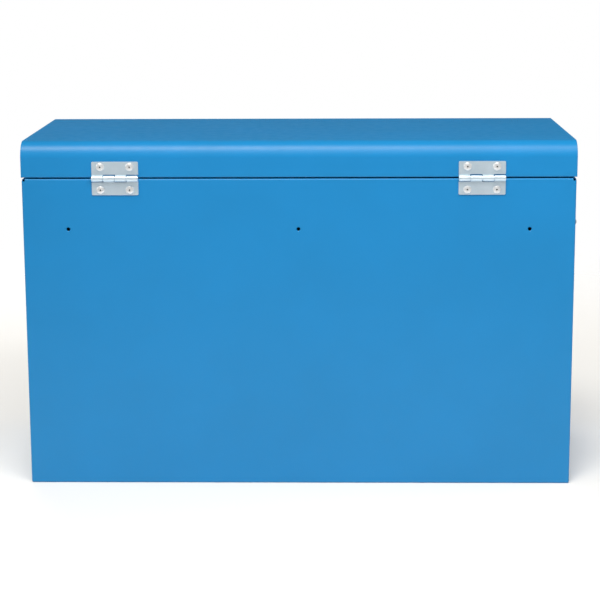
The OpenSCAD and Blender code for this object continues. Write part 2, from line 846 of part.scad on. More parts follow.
// The runner on the drawer: a channel that opens towards the rail
module runner() {
  block([slide_w - slide_t, slide_y, -inner_race], [slide_w, pan_end_y, inner_race]);
  for (m = [0, 1]) mirror([0, 0, m])
    block([cage_x + cage_t + cage_gap, slide_y, inner_race - slide_t], [slide_w, pan_end_y, inner_race]);
}

module drawer_rails(i) {
  color(zinc) for (side = [LEFT, RIGHT]) at_slide(side, i) rail();
}

module drawer_runners(i) {
  color(zinc) for (side = [LEFT, RIGHT]) at_slide(side, i) runner();
}

function ball_y(k) = cage_y + ball_d + k * ball_pitch;

// A ball cage and its two rows of balls
module ball_cage(side, i) {
  leg = ball_x + ball_d / 2 + cage_t;
  at_slide(side, i) {
    color(bright) difference() {
      union() {
        block([cage_x, cage_y, -ball_z - cage_t / 2],
              [cage_x + cage_t, cage_y + cage_len, ball_z + cage_t / 2]);
        for (z = [-ball_z, ball_z])
          block([cage_x, cage_y, z - cage_t / 2], [leg, cage_y + cage_len, z + cage_t / 2]);
      }
      for (k = [0:balls - 1], z = [-ball_z, ball_z])
        translate([ball_x, ball_y(k), z - ball_d]) cylinder(r = ball_d / 2 + running, h = 2 * ball_d);
    }
    color(zinc) for (k = [0:balls - 1], z = [-ball_z, ball_z])
      translate([ball_x, ball_y(k), z]) sphere(ball_d / 2);
  }
}

case_shell();
base_pan();
till_front();
till_floor();
till_mat();
slide_uprights(LEFT);  // slide_uprights_left
slide_uprights(RIGHT);  // slide_uprights_right
lid_shell();
lid_end(LEFT);  // lid_end_left
lid_end(RIGHT);  // lid_end_right
lid_strike();
lid_bumpers();
hinge_leaf(LEFT, 1);  // hinge_leaf_upper_left
hinge_leaf(RIGHT, 1);  // hinge_leaf_upper_right
hinge_leaf(LEFT, -1);  // hinge_leaf_lower_left
hinge_leaf(RIGHT, -1);  // hinge_leaf_lower_right
hinge_pin(LEFT);  // hinge_pin_left
hinge_pin(RIGHT);  // hinge_pin_right
hinge_rivets(1);  // hinge_rivets_lid
hinge_rivets(-1);  // hinge_rivets_case
stay_arm(LEFT);  // stay_arm_left
stay_arm(RIGHT);  // stay_arm_right
stay_studs(lid_half_w, pivot_z);  // stay_studs_lid
stay_studs(half_w, stud_z);  // stay_studs_case
lock_barrel();
lock_nut();
lock_plug();
lock_cam();
lock_cam_screw();
handle_plate(LEFT);  // handle_plate_left
handle_plate(RIGHT);  // handle_plate_right
handle_rivets();
handle_bail(LEFT);  // handle_bail_left
handle_bail(RIGHT);  // handle_bail_right
handle_grip(LEFT);  // handle_grip_left
handle_grip(RIGHT);  // handle_grip_right
drawer_front(BOTTOM);  // bottom_drawer_front
drawer_pan(BOTTOM);  // bottom_drawer_pan
drawer_pull(BOTTOM);  // bottom_drawer_pull
drawer_mat(BOTTOM);  // bottom_drawer_mat
drawer_runners(BOTTOM);  // bottom_drawer_runners
drawer_rails(BOTTOM);  // bottom_drawer_rails
ball_cage(LEFT, BOTTOM);  // bottom_ball_cage_left
ball_cage(RIGHT, BOTTOM);  // bottom_ball_cage_right
drawer_front(MIDDLE);  // middle_drawer_front
drawer_pan(MIDDLE);  // middle_drawer_pan
drawer_pull(MIDDLE);  // middle_drawer_pull
drawer_mat(MIDDLE);  // middle_drawer_mat
drawer_runners(MIDDLE);  // middle_drawer_runners
drawer_rails(MIDDLE);  // middle_drawer_rails
ball_cage(LEFT, MIDDLE);  // middle_ball_cage_left
ball_cage(RIGHT, MIDDLE);  // middle_ball_cage_right
drawer_front(TOP);  // top_drawer_front
drawer_pan(TOP);  // top_drawer_pan
drawer_pull(TOP);  // top_drawer_pull
drawer_mat(TOP);  // top_drawer_mat
drawer_runners(TOP);  // top_drawer_runners
drawer_rails(TOP);  // top_drawer_rails
ball_cage(LEFT, TOP);  // top_ball_cage_left
ball_cage(RIGHT, TOP);  // top_ball_cage_right
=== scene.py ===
"""Looks of a portable steel tool box with three drawers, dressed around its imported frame.

The box stands on a pale floor and is seen from behind, as in the photograph. Every piece
that the frame's plain solids don't shape finely enough is modelled here; the others keep
their solid and get a finish.
"""

from __future__ import annotations

import logging
import math
from collections.abc import Callable, Iterator
from contextlib import contextmanager
from dataclasses import dataclass
from enum import Enum

import bmesh
import bpy
from mathutils import Matrix, Vector


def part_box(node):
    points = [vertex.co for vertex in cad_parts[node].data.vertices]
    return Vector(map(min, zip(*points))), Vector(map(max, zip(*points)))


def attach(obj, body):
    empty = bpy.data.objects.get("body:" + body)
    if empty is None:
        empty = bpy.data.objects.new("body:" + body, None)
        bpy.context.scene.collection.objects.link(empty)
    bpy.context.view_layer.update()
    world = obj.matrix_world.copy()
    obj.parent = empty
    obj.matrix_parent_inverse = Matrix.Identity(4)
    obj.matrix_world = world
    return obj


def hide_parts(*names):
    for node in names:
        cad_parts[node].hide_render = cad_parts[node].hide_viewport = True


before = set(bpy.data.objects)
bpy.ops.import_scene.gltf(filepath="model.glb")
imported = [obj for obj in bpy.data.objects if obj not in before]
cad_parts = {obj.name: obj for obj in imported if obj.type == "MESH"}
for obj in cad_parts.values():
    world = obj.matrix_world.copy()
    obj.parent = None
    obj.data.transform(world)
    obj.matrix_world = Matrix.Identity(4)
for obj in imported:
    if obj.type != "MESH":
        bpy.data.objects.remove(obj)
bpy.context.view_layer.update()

MM = 0.001
SAME = 0.01 * MM  # Points closer than this count as one
CLEARANCE = 0.1 * MM  # Left between sheets that lie against each other
FOLDED_ANGLE = 40  # Degrees from which an edge counts as a fold
FACING = 0.9  # Share of a normal along a direction from which a face looks that way
STRAIGHT = 0.99  # Share of an edge along an axis from which it runs that way
SMOOTH_ANGLE = 35  # Degrees up to which faces are shaded as one
LOG = logging.getLogger("tool_box")

UP = Vector((0, 0, 1))
OUT_BACK = Vector((0, 1, 0))
OUT_FRONT = Vector((0, -1, 0))
OUT_RIGHT = Vector((1, 0, 0))

Object = bpy.types.Object
Edge = bmesh.types.BMEdge
Test = Callable[[Edge | bmesh.types.BMFace], bool]
Points = list[tuple[float, float]]


class Side(Enum):
    """The two ends of the box, as seen by a person at the drawers."""

    LEFT = -1
    RIGHT = 1

    @property
    def word(self) -> str:
        """Gives the side's name as the frame's nodes spell it."""
        return self.name.lower()


class Level(Enum):
    """The three drawers, from the bottom up."""

    BOTTOM = "bottom"
    MIDDLE = "middle"
    TOP = "top"


class Pick(Enum):
    """What a selection in edit mode is made of."""

    EDGES = (False, True, False)
    FACES = (False, False, True)


class Role(Enum):
    """What a pattern of a finish varies."""

    COLOUR = "colour"
    GLOSS = "gloss"
    RELIEF = "relief"


# ---------------------------------------------------------------- the bench


def deselect() -> None:
    """Deselects every object, so that an operator acts only on what is picked next."""
    for obj in bpy.context.selected_objects:
        obj.select_set(False)


def activate(obj: Object) -> None:
    """Makes one object the only selected and active one.

    Args:
        obj: The object to work on.
    """
    deselect()
    obj.select_set(True)
    bpy.context.view_layer.objects.active = obj


def settle(obj: Object) -> Object:
    """Writes an object's place, turn and size into its mesh.

    Args:
        obj: The object to settle.

    Returns:
        The same object.
    """
    activate(obj)
    bpy.ops.object.transform_apply(location=True, rotation=True, scale=True)
    return obj


def select(obj: Object, pick: Pick, test: Test) -> None:
    """Selects just the edges or faces of the open mesh that pass a test.

    Args:
        obj: The object that is open in edit mode.
        pick: Whether edges or faces are picked.
        test: Tells whether one is wanted.
    """
    mesh = bmesh.from_edit_mesh(obj.data)
    elements = list(mesh.edges if pick is Pick.EDGES else mesh.faces)
    wanted = [element for element in elements if test(element)]
    for element in elements:
        element.select_set(False)
    for element in wanted:
        element.select_set(True)
    bmesh.update_edit_mesh(obj.data)


@contextmanager
def editing(obj: Object, pick: Pick) -> Iterator[Callable[[Test], None]]:
    """Opens an object in edit mode with nothing selected, and closes it again.

    Args:
        obj: The object to edit.
        pick: Whether edges or faces are picked.

    Yields:
        A function that selects what passes a test.
    """
    activate(obj)
    bpy.ops.object.mode_set(mode="EDIT")
    bpy.context.tool_settings.mesh_select_mode = pick.value
    bpy.ops.mesh.select_all(action="DESELECT")
    try:
        yield lambda test: select(obj, pick, test)
    finally:
        bpy.ops.object.mode_set(mode="OBJECT")


def extrude(step: Vector) -> None:
    """Extrudes what is selected in the open mesh by a step."""
    bpy.ops.mesh.extrude_region_move(TRANSFORM_OT_translate={"value": step})


def close_up(merge: bool = True) -> None:
    """Merges the doubles of the open mesh, if wanted, and turns its faces outwards.

    Args:
        merge: Whether points at one place become one.
    """
    bpy.ops.mesh.select_all(action="SELECT")
    if merge:
        bpy.ops.mesh.remove_doubles(threshold=0.1 * SAME)
    bpy.ops.mesh.normals_make_consistent(inside=False)


def folded(edge: Edge) -> bool:
    """Tells whether an edge joins two faces at a sharp angle."""
    return len(edge.link_faces) == 2 and edge.calc_face_angle(0) > math.radians(FOLDED_ANGLE)


def middle(edge: Edge) -> Vector:
    """Gives the middle point of an edge."""
    return (edge.verts[0].co + edge.verts[1].co) / 2


def runs_along(edge: Edge, axis: int) -> bool:
    """Tells whether an edge runs along one axis, 0 for X, 1 for Y and 2 for Z."""
    step = (edge.verts[1].co - edge.verts[0].co).normalized()
    return abs(step[axis]) > STRAIGHT


def near(point: Vector, place: tuple[float, float]) -> bool:
    """Tells whether a point lies at a place in Y and Z."""
    return math.hypot(point.y - place[0], point.z - place[1]) < SAME


def centre_of(node: str) -> Vector:
    """Gives the middle of the box round a plain solid."""
    low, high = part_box(node)
    return (low + high) / 2


def round_edges(obj: Object, test: Test, radius: float, steps: int = 4) -> None:
    """Rounds the edges that pass a test; one step makes a flat chamfer.

    Args:
        obj: The object to round.
        test: Tells whether an edge is wanted.
        radius: The round's radius in metres.
        steps: How many faces each round has.
    """
    with editing(obj, Pick.EDGES) as pick:
        pick(test)
        bpy.ops.mesh.bevel(offset=radius, offset_type="OFFSET", segments=steps, profile=0.5)


def block(name: str, low: Vector, high: Vector) -> Object:
    """Adds a block between two corners, to be shaped further.

    Args:
        name: The piece's name.
        low: Its lowest corner in metres.
        high: Its highest corner in metres.

    Returns:
        The new object.
    """
    deselect()
    low, high = Vector(low), Vector(high)
    bpy.ops.mesh.primitive_cube_add(size=1, location=(low + high) / 2)
    obj = bpy.context.object
    obj.name = name
    obj.scale = high - low
    return settle(obj)


def rod(name: str, radius: float, start: Vector, end: Vector, sides: int = 48) -> Object:
    """Adds a round rod between two points.

    Args:
        name: The piece's name.
        radius: Its radius in metres.
        start: The middle of one end.
        end: The middle of the other end.
        sides: How many sides the round has.

    Returns:
        The new object.
    """
    deselect()
    start, end = Vector(start), Vector(end)
    along = end - start
    bpy.ops.mesh.primitive_cylinder_add(
        vertices=sides, radius=radius, depth=along.length, location=(start + end) / 2
    )
    obj = bpy.context.object
    obj.name = name
    obj.rotation_mode = "QUATERNION"
    obj.rotation_quaternion = along.to_track_quat("Z", "Y")
    return settle(obj)


def use_modifier(obj: Object, kind: str, **settings: object) -> None:
    """Adds a modifier to an object and applies it at once.

    Args:
        obj: The object to change.
        kind: The modifier's type.
        **settings: Its properties.
    """
    activate(obj)
    modifier = obj.modifiers.new(kind.title(), kind)
    for key, value in settings.items():
        setattr(modifier, key, value)
    bpy.ops.object.modifier_apply(modifier=modifier.name)


def thicken(obj: Object, thickness: float) -> None:
    """Gives an open sheet its thickness, inward from its outer side."""
    use_modifier(obj, "SOLIDIFY", thickness=thickness, offset=-1, use_even_offset=True)


def soften(obj: Object, width: float) -> None:
    """Rounds all sharp edges by a small width."""
    limit = {"limit_method": "ANGLE", "angle_limit": math.radians(FOLDED_ANGLE)}
    use_modifier(obj, "BEVEL", width=width, segments=2, use_clamp_overlap=True, **limit)


def combine(obj: Object, others: list[Object], operation: str) -> None:
    """Cuts other objects out of one, or fuses them with it, and removes them.

    Args:
        obj: The object that stays.
        others: The tools of the cut, or the pieces to fuse.
        operation: DIFFERENCE or UNION.
    """
    for other in others:
        use_modifier(obj, "BOOLEAN", object=other, operation=operation, solver="EXACT")
        mesh = other.data
        bpy.data.objects.remove(other)
        bpy.data.meshes.remove(mesh)


def join(pieces: list[Object], name: str) -> Object:
    """Joins separate solids of one kind into one object.

    Args:
        pieces: The solids; the first one takes in the others.
        name: The joined piece's name.

    Returns:
        The joined piece.
    """
    activate(pieces[0])
    for piece in pieces:
        piece.select_set(True)
    if len(pieces) > 1:
        bpy.ops.object.join()
    pieces[0].name = name
    return pieces[0]


def put_at(obj: Object, place: Matrix) -> Object:
    """Moves a piece from the origin to its place, and settles it there."""
    obj.matrix_world = place
    return settle(obj)


def copy_to(model: Object, place: Matrix) -> Object:
    """Copies a modelled piece, with a mesh of its own, to another place.

    Args:
        model: The piece that was modelled once.
        place: Where the copy goes, from the model's own place.

    Returns:
        The copy.
    """
    activate(model)
    bpy.ops.object.duplicate(linked=False)
    return put_at(bpy.context.object, place)


def mirror_copy(model: Object, name: str) -> Object:
    """Copies a piece to the other end of the box, with its faces turned outward again.

    Args:
        model: The piece at one end.
        name: The copy's name.

    Returns:
        The copy.
    """
    twin = copy_to(model, Matrix.Scale(-1, 4, OUT_RIGHT))
    twin.name = name
    with editing(twin, Pick.FACES):
        close_up(merge=False)
    return twin


def facing(direction: Vector, place: Vector) -> Matrix:
    """Gives the place of a turned piece whose axis points in a direction."""
    turn = Vector(direction).to_track_quat("Z", "Y").to_matrix().to_4x4()
    return Matrix.Translation(Vector(place)) @ turn


def hand_over(obj: Object, finish: bpy.types.Material, body: str, node: str = "") -> None:
    """Dresses a finished piece, hangs it on its body and hides the plain solid that it stands for.

    Args:
        obj: The finished piece.
        finish: Its material.
        body: The body that it rides on.
        node: The plain solid that it stands for, if any.
    """
    activate(obj)
    bpy.ops.object.shade_smooth_by_angle(angle=math.radians(SMOOTH_ANGLE))
    use_modifier(obj, "WEIGHTED_NORMAL", keep_sharp=True, weight=80)
    obj.data.materials.clear()
    obj.data.materials.append(finish)
    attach(obj, body)
    if node:
        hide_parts(node)
    LOG.info("%s: %d faces on %s", obj.name, len(obj.data.polygons), body)


def dress(finish: bpy.types.Material, *nodes: str) -> None:
    """Gives plain solids that are already the right shape their material.

    Args:
        finish: The material.
        *nodes: The solids' names.
    """
    for node in nodes:
        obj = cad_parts[node]
        obj.data.materials.clear()
        obj.data.materials.append(finish)
        LOG.info("%s keeps its solid", node)


# ---------------------------------------------------------------- finishes


def linear(code: str) -> tuple[float, float, float, float]:
    """Turns an sRGB hex code into the linear colour that a shader takes.

    Args:
        code: Six hex digits.

    Returns:
        Red, green, blue and an alpha of 1.
    """
    parts = [int(code[i : i + 2], 16) / 255 for i in (0, 2, 4)]
    low = [p / 12.92 if p <= 0.04045 else ((p + 0.055) / 1.055) ** 2.4 for p in parts]
    return (low[0], low[1], low[2], 1.0)


def add_node(
    tree: bpy.types.NodeTree,
    kind: str,
    inputs: dict[str | int, object] | None = None,
    **settings: object,
) -> bpy.types.Node:
    """Adds a node with its settings and links.

    Args:
        tree: The node tree.
        kind: The node's type.
        inputs: A value or another node's output for each socket.
        **settings: The node's properties.

    Returns:
        The new node.
    """
    node = tree.nodes.new(kind)
    for setting, choice in settings.items():
        setattr(node, setting, choice)
    for key, value in (inputs or {}).items():
        if isinstance(value, bpy.types.NodeSocket):
            tree.links.new(value, node.inputs[key])
        else:
            node.inputs[key].default_value = value
    return node


@dataclass(frozen=True)
class Pattern:
    """One pattern of a finish: what it varies, its real size in millimetres and its range.

    The middle values of the pattern go from low to high. A relief rises by high, in millimetres.
    """

    role: Role
    size: float
    low: float = 0
    high: float = 1
    detail: float = 3
    stretch: tuple[float, float, float] = (1, 1, 1)
    cells: bool = False


@dataclass(frozen=True)
class Finish:
    """A finish whose colour, gloss and relief vary in patterns of real sizes."""

    name: str
    light: str
    deep: str
    patterns: tuple[Pattern, ...]
    metallic: float = 0
    roughness: float = 0.5
    specular: float = 0.5
    anisotropic: float = 0
    sheen: float = 0

    def make(self) -> bpy.types.Material:
        """Builds the material from the finish's patterns, each relief on top of the one before.

        Returns:
            The material.
        """
        material = bpy.data.materials.new(self.name)
        material.use_nodes = True
        tree = material.node_tree
        tree.nodes.clear()
        place = add_node(tree, "ShaderNodeTexCoord").outputs["Object"]
        sockets: dict[str | int, object] = {
            "Metallic": self.metallic,
            "Roughness": self.roughness,
            "Specular IOR Level": self.specular,
            "Anisotropic": self.anisotropic,
            "Sheen Weight": self.sheen,
        }
        for pattern in self.patterns:
            turned_place = add_node(tree, "ShaderNodeMapping", {"Vector": place, "Scale": pattern.stretch})
            spot = {"Vector": turned_place.outputs["Vector"], "Scale": 1 / (pattern.size * MM)}
            if pattern.cells:
                value = add_node(tree, "ShaderNodeTexVoronoi", spot).outputs["Distance"]
            else:
                cloud = add_node(tree, "ShaderNodeTexNoise", {**spot, "Detail": pattern.detail})
                value = cloud.outputs["Fac"]
            if pattern.role is Role.RELIEF:
                inputs = {"Height": value, "Distance": pattern.high * MM, "Strength": 1.0}
                if "Normal" in sockets:
                    inputs["Normal"] = sockets["Normal"]
                sockets["Normal"] = add_node(tree, "ShaderNodeBump", inputs).outputs["Normal"]
                continue
            middle_half = {"Value": value, "From Min": 0.3, "From Max": 0.7}
            spread = {**middle_half, "To Min": pattern.low, "To Max": pattern.high}
            share = add_node(tree, "ShaderNodeMapRange", spread).outputs["Result"]
            if pattern.role is Role.GLOSS:
                sockets["Roughness"] = share
            else:
                colours = {0: share, 6: linear(self.light), 7: linear(self.deep)}
                sockets["Base Color"] = add_node(tree, "ShaderNodeMix", colours, data_type="RGBA").outputs[2]
        shader = add_node(tree, "ShaderNodeBsdfPrincipled", sockets)
        add_node(tree, "ShaderNodeOutputMaterial", {"Surface": shader.outputs["BSDF"]})
        return material


@dataclass(frozen=True)
class PowderCoat(Finish):
    """Blue textured powder coat, baked on sheet steel that isn't perfectly flat."""

    # An even satin blue with slow waves of the sheet, whose highlights break up in orange peel.
    # The grain of about 0.1 mm is drawn at 0.45 mm, so that it shows.
    name: str = "Blue_powder_coat"
    light: str = "0E7DBA"
    deep: str = "0D77B0"
    patterns: tuple[Pattern, ...] = (
        Pattern(Role.COLOUR, 70, 0.25, 0.75),
        Pattern(Role.GLOSS, 9, 0.34, 0.40),
        Pattern(Role.RELIEF, 95, high=0.14, detail=1),
        Pattern(Role.RELIEF, 1.6, high=0.022, detail=2),
        Pattern(Role.RELIEF, 0.45, high=0.010, detail=2),
    )
    specular: float = 0.42


@dataclass(frozen=True)
class ZincPlate(Finish):
    """Bright zinc plate on pressed steel, passivated clear."""

    # A soft bluish metal with cloudy patches, the rolling lines of its strip and small pits.
    # The thin clear film takes some of the metal's mirror away, so it isn't wholly metallic.
    name: str = "Bright_zinc_plate"
    light: str = "E1F1FC"
    deep: str = "D5E7F3"
    patterns: tuple[Pattern, ...] = (
        Pattern(Role.COLOUR, 14),
        Pattern(Role.RELIEF, 0.5, high=0.004, detail=2, stretch=(0.05, 1, 1)),
        Pattern(Role.RELIEF, 0.8, high=0.006, detail=4),
        Pattern(Role.GLOSS, 5, 0.30, 0.42),
    )
    metallic: float = 0.75
    anisotropic: float = 0.3


@dataclass(frozen=True)
class RivetAluminium(Finish):
    """Drawn aluminium of the blind rivets, as it comes from the press."""

    # A whitish metal, dulled by tumbling, with small scuffs
    name: str = "Drawn_aluminium"
    light: str = "F6F7F8"
    deep: str = "ECEEF0"
    patterns: tuple[Pattern, ...] = (
        Pattern(Role.COLOUR, 2.5),
        Pattern(Role.RELIEF, 0.6, high=0.008, detail=4),
        Pattern(Role.GLOSS, 1.5, 0.34, 0.44),
    )
    metallic: float = 0.75


@dataclass(frozen=True)
class FoamSheet(Finish):
    """Closed-cell EVA foam sheet of the mats."""

    # A matt dark sheet with fine cells and faint dust
    name: str = "EVA_foam_sheet"
    light: str = "2B2B2E"
    deep: str = "1D1D20"
    patterns: tuple[Pattern, ...] = (
        Pattern(Role.COLOUR, 3, detail=5),
        Pattern(Role.RELIEF, 0.7, high=0.05, cells=True),
    )
    roughness: float = 0.85
    sheen: float = 0.15


@dataclass(frozen=True)
class MouldedRubber(Finish):
    """Black moulded rubber of the grips and the bumpers."""

    # A matt black with the fine grain of its mould
    name: str = "Moulded_rubber"
    light: str = "29292B"
    deep: str = "19191B"
    patterns: tuple[Pattern, ...] = (
        Pattern(Role.COLOUR, 6),
        Pattern(Role.RELIEF, 0.5, high=0.02),
        Pattern(Role.GLOSS, 2, 0.55, 0.7),
    )


@dataclass(frozen=True)
class NickelChrome(Finish):
    """Nickel-chrome plate of the lock and the side handles."""

    # A glossy metal with faint polishing marks and haze
    name: str = "Nickel_chrome_plate"
    light: str = "DADDE0"
    deep: str = "C6CACE"
    patterns: tuple[Pattern, ...] = (
        Pattern(Role.COLOUR, 8),
        Pattern(Role.RELIEF, 0.7, high=0.0025, detail=2, stretch=(1, 0.1, 1)),
        Pattern(Role.GLOSS, 4, 0.12, 0.22),
    )
    metallic: float = 1


@dataclass(frozen=True)
class AnodisedTrim(Finish):
    """Satin anodised aluminium extrusion of the drawer pulls."""

    # A satin metal with fine die lines along the extrusion, in its relief and in its gloss
    name: str = "Anodised_extrusion"
    light: str = "CFD2D5"
    deep: str = "C0C4C8"
    patterns: tuple[Pattern, ...] = (
        Pattern(Role.COLOUR, 25),
        Pattern(Role.RELIEF, 0.35, high=0.006, detail=2, stretch=(0.01, 1, 1)),
        Pattern(Role.GLOSS, 0.35, 0.28, 0.38, detail=2, stretch=(0.01, 1, 1)),
    )
    metallic: float = 1
    anisotropic: float = 0.5


@dataclass(frozen=True)
class BlackOxide(Finish):
    """Black oxide of the small steel screw and of the rivets' mandrels."""

    # A dark oily metal with a fine grain
    name: str = "Black_oxide"
    light: str = "34353A"
    deep: str = "222327"
    patterns: tuple[Pattern, ...] = (
        Pattern(Role.COLOUR, 1.5),
        Pattern(Role.RELIEF, 0.4, high=0.006),
    )
    metallic: float = 0.8
    roughness: float = 0.42


@dataclass(frozen=True)
class PaleFloor(Finish):
    """Matt pale studio floor."""

    # A plain light grey that is barely uneven
    name: str = "Pale_floor"
    light: str = "E8E8E8"
    deep: str = "E4E4E4"
    patterns: tuple[Pattern, ...] = (Pattern(Role.COLOUR, 600),)
    roughness: float = 0.9
    specular: float = 0.2


class Finishes:
    """The box's materials, each made once."""

    def __init__(self) -> None:
        """Makes all of them."""
        self.paint = PowderCoat().make()
        self.zinc = ZincPlate().make()
        self.rivet = RivetAluminium().make()
        self.foam = FoamSheet().make()
        self.rubber = MouldedRubber().make()
        self.chrome = NickelChrome().make()
        self.trim = AnodisedTrim().make()
        self.oxide = BlackOxide().make()


# ---------------------------------------------------------------- shaping


@dataclass(frozen=True)
class Fold:
    """One bend of a folded strip: where it lies in the path, its outer radius and its steps."""

    at: int
    radius: float
    steps: int = 4


def strip(name: str, ends: tuple[float, float], path: Points, folds: list[Fold], sheet: float) -> Object:
    """Folds a strip of sheet along a path, like a press brake.

    Args:
        name: The piece's name.
        ends: Where the strip starts and ends along X.
        path: Points in Y and Z on its outer side, which lies to -Y where the path goes up.
        folds: The bends to round.
        sheet: The sheet's thickness.

    Returns:
        The folded strip.
    """
    deselect()
    start, step = Vector((0, *path[0])), Vector((0, *path[1])) - Vector((0, *path[0]))
    bpy.ops.mesh.primitive_plane_add(size=1)
    obj = bpy.context.object
    obj.name = name
    across = Vector((ends[1] - ends[0], 0, 0))
    centre = start + step / 2 + Vector(((ends[0] + ends[1]) / 2, 0, 0))
    turn = Matrix((across, step, across.cross(step).normalized())).transposed().to_4x4()
    put_at(obj, Matrix.Translation(centre) @ turn)
    with editing(obj, Pick.EDGES) as pick:
        pick(lambda e: runs_along(e, 0) and near(middle(e), path[1]))
        for here, there in zip(path[1:], path[2:]):
            extrude((0, there[0] - here[0], there[1] - here[1]))
    for fold in folds:
        corner = path[fold.at]
        round_edges(obj, lambda e: runs_along(e, 0) and near(middle(e), corner), fold.radius, fold.steps)
    thicken(obj, sheet)
    return obj


def turned(name: str, profile: Points, sides: int = 48, bored: bool = False) -> Object:
    """Turns a round piece about Z, like a lathe, at the origin.

    Args:
        name: The piece's name.
        profile: Radius and height of each ring in millimetres, from one end to the other. For a
            bored piece it returns through the bore to the first ring.
        sides: How many sides the round has.
        bored: Whether the piece is open through its middle.

    Returns:
        The turned piece.
    """
    deselect()
    radius, height = profile[0]
    fill = "NOTHING" if bored else "NGON"
    bpy.ops.mesh.primitive_circle_add(
        vertices=sides, radius=radius * MM, fill_type=fill, location=(0, 0, height * MM)
    )
    obj = bpy.context.object
    obj.name = name
    settle(obj)
    with editing(obj, Pick.EDGES if bored else Pick.FACES):
        bpy.ops.mesh.select_all(action="SELECT")
        for (old_r, old_z), (new_r, new_z) in zip(profile, profile[1:]):
            extrude((0, 0, (new_z - old_z) * MM))
            ratio = new_r / old_r
            bpy.ops.transform.resize(value=(ratio, ratio, 1), center_override=(0, 0, new_z * MM))
        close_up()
    return obj


def spread_out(model: Object, places: list[Matrix], name: str) -> Object:
    """Makes a set of equal pieces from one that lies at the origin, as one object."""
    copies = [copy_to(model, place) for place in places[1:]]
    return join([put_at(model, places[0]), *copies], name)


@dataclass(frozen=True)
class Bend:
    """A bend of a wire: the point it turns about and its angle in degrees about +X."""

    centre: Vector
    angle: float


def wire(name: str, radius: float, start: Vector, heading: Vector, moves: list[Vector | Bend]) -> Object:
    """Bends a round wire from straight lengths and bends in a plane across X.

    Args:
        name: The wire's name.
        radius: Its radius in metres.
        start: The middle of its first end.
        heading: The direction in which it starts.
        moves: Straight lengths as vectors, and bends.

    Returns:
        The wire.
    """
    deselect()
    bpy.ops.mesh.primitive_circle_add(vertices=24, radius=radius, fill_type="NGON")
    obj = bpy.context.object
    obj.name = name
    put_at(obj, facing(heading, start))
    with editing(obj, Pick.FACES):
        bpy.ops.mesh.select_all(action="SELECT")
        for move in moves:
            if isinstance(move, Bend):
                # The operator turns the other way round from its axis
                angle = -math.radians(move.angle)
                bpy.ops.mesh.spin(steps=8, angle=angle, center=move.centre, axis=(1, 0, 0))
            else:
                extrude(move)
        close_up()
    return obj


@dataclass
class BlindRivets:
    """A group of set blind rivets with the broken steel mandrels that stay in them."""

    finishes: Finishes
    grip: float

    def rivet(self) -> Object:
        """Turns one rivet, with its head on z = 0 and the sheets below.

        Returns:
            The rivet at the origin.
        """
        grip = self.grip
        tail = -grip - 2.4
        shank = [(1.0, tail), (2.3, tail + 0.2), (2.8, tail + 0.9), (2.8, -grip - 0.4), (2.5, -grip)]
        brim = [(2.0, -grip), (2.0, 0), (3.7, 0), (3.9, 0.12)]
        steps = [math.radians(10 * i) for i in range(10)]
        dome = [(0.98 + 2.86 * math.cos(a), 0.25 + 1.45 * math.sin(a)) for a in steps]
        pit = [(0.8, 1.62), (0.72, 1.4), (0.72, -0.6), (0.2, -0.6)]
        return turned("blind_rivet", shank + brim + dome + pit, 40)

    def mandrel(self) -> Object:
        """Turns one mandrel.

        Returns:
            The mandrel at the origin.
        """
        below = [(0.9, 2.5), (1.2, 2.3), (1.2, 1.6), (0.65, 1.2)]
        rings = [(radius, -self.grip - depth) for radius, depth in below]
        return turned("mandrel", [*rings, (0.65, 0.7), (0.4, 0.95)], 20)

    def set_at(self, places: list[Matrix], body: str, node: str) -> None:
        """Sets the group.

        Args:
            places: Where the heads sit.
            body: The body that it rides on.
            node: The plain solid that it stands for, which also names the group.
        """
        rivets = spread_out(self.rivet(), places, f"{node}_set")
        hand_over(rivets, self.finishes.rivet, body, node)
        mandrels = spread_out(self.mandrel(), places, f"{node}_mandrels")
        hand_over(mandrels, self.finishes.oxide, body)


# ---------------------------------------------------------------- sub-assemblies


@dataclass
class FoldedWork:
    """A sub-assembly that is folded from painted sheet, with the trays and mats in it."""

    finishes: Finishes
    sheet: float = 0.8 * MM
    bend: float = 1.5 * MM
    groove_pitch: float = 5 * MM
    groove_inset: float = 0.25
    groove_depth: float = 0.3

    def fold_tray(self, node: str, name: str, body: str, open_to: Vector) -> None:
        """Folds a tray that is open to one side.

        Args:
            node: The plain solid whose place it takes.
            name: The tray's name.
            body: The body that it rides on.
            open_to: The direction of its open side.
        """
        obj = block(name, *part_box(node))
        with editing(obj, Pick.FACES) as pick:
            pick(lambda f: f.normal.dot(open_to) > FACING)
            bpy.ops.mesh.delete(type="FACE")
        round_edges(obj, folded, self.bend)
        thicken(obj, self.sheet)
        hand_over(obj, self.finishes.paint, body, node)

    def lay_mat(self, node: str, body: str) -> None:
        """Cuts shallow grooves along X in the top of a foam mat.

        Args:
            node: The plain mat whose place it takes.
            body: The body that it rides on.
        """
        deselect()
        low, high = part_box(node)
        size, centre = high - low, (low + high) / 2
        rows = 2 * round(size.y / self.groove_pitch) + 1
        bpy.ops.mesh.primitive_grid_add(
            x_subdivisions=1, y_subdivisions=rows, size=1, location=(centre.x, centre.y, high.z)
        )
        mat = bpy.context.object
        mat.name = f"{node}_foam"
        mat.scale = (size.x, size.y, 1)
        settle(mat)
        row = size.y / rows
        with editing(mat, Pick.FACES) as pick:
            bpy.ops.mesh.select_all(action="SELECT")
            extrude((0, 0, -size.z))
            close_up(merge=False)
            pick(lambda f: f.normal.z > FACING and int((f.calc_center_median().y - low.y) / row) % 2 == 1)
            depth = -self.groove_depth * size.z
            bpy.ops.mesh.inset(thickness=self.groove_inset * row, depth=depth, use_individual=True)
        hand_over(mat, self.finishes.foam, body, node)


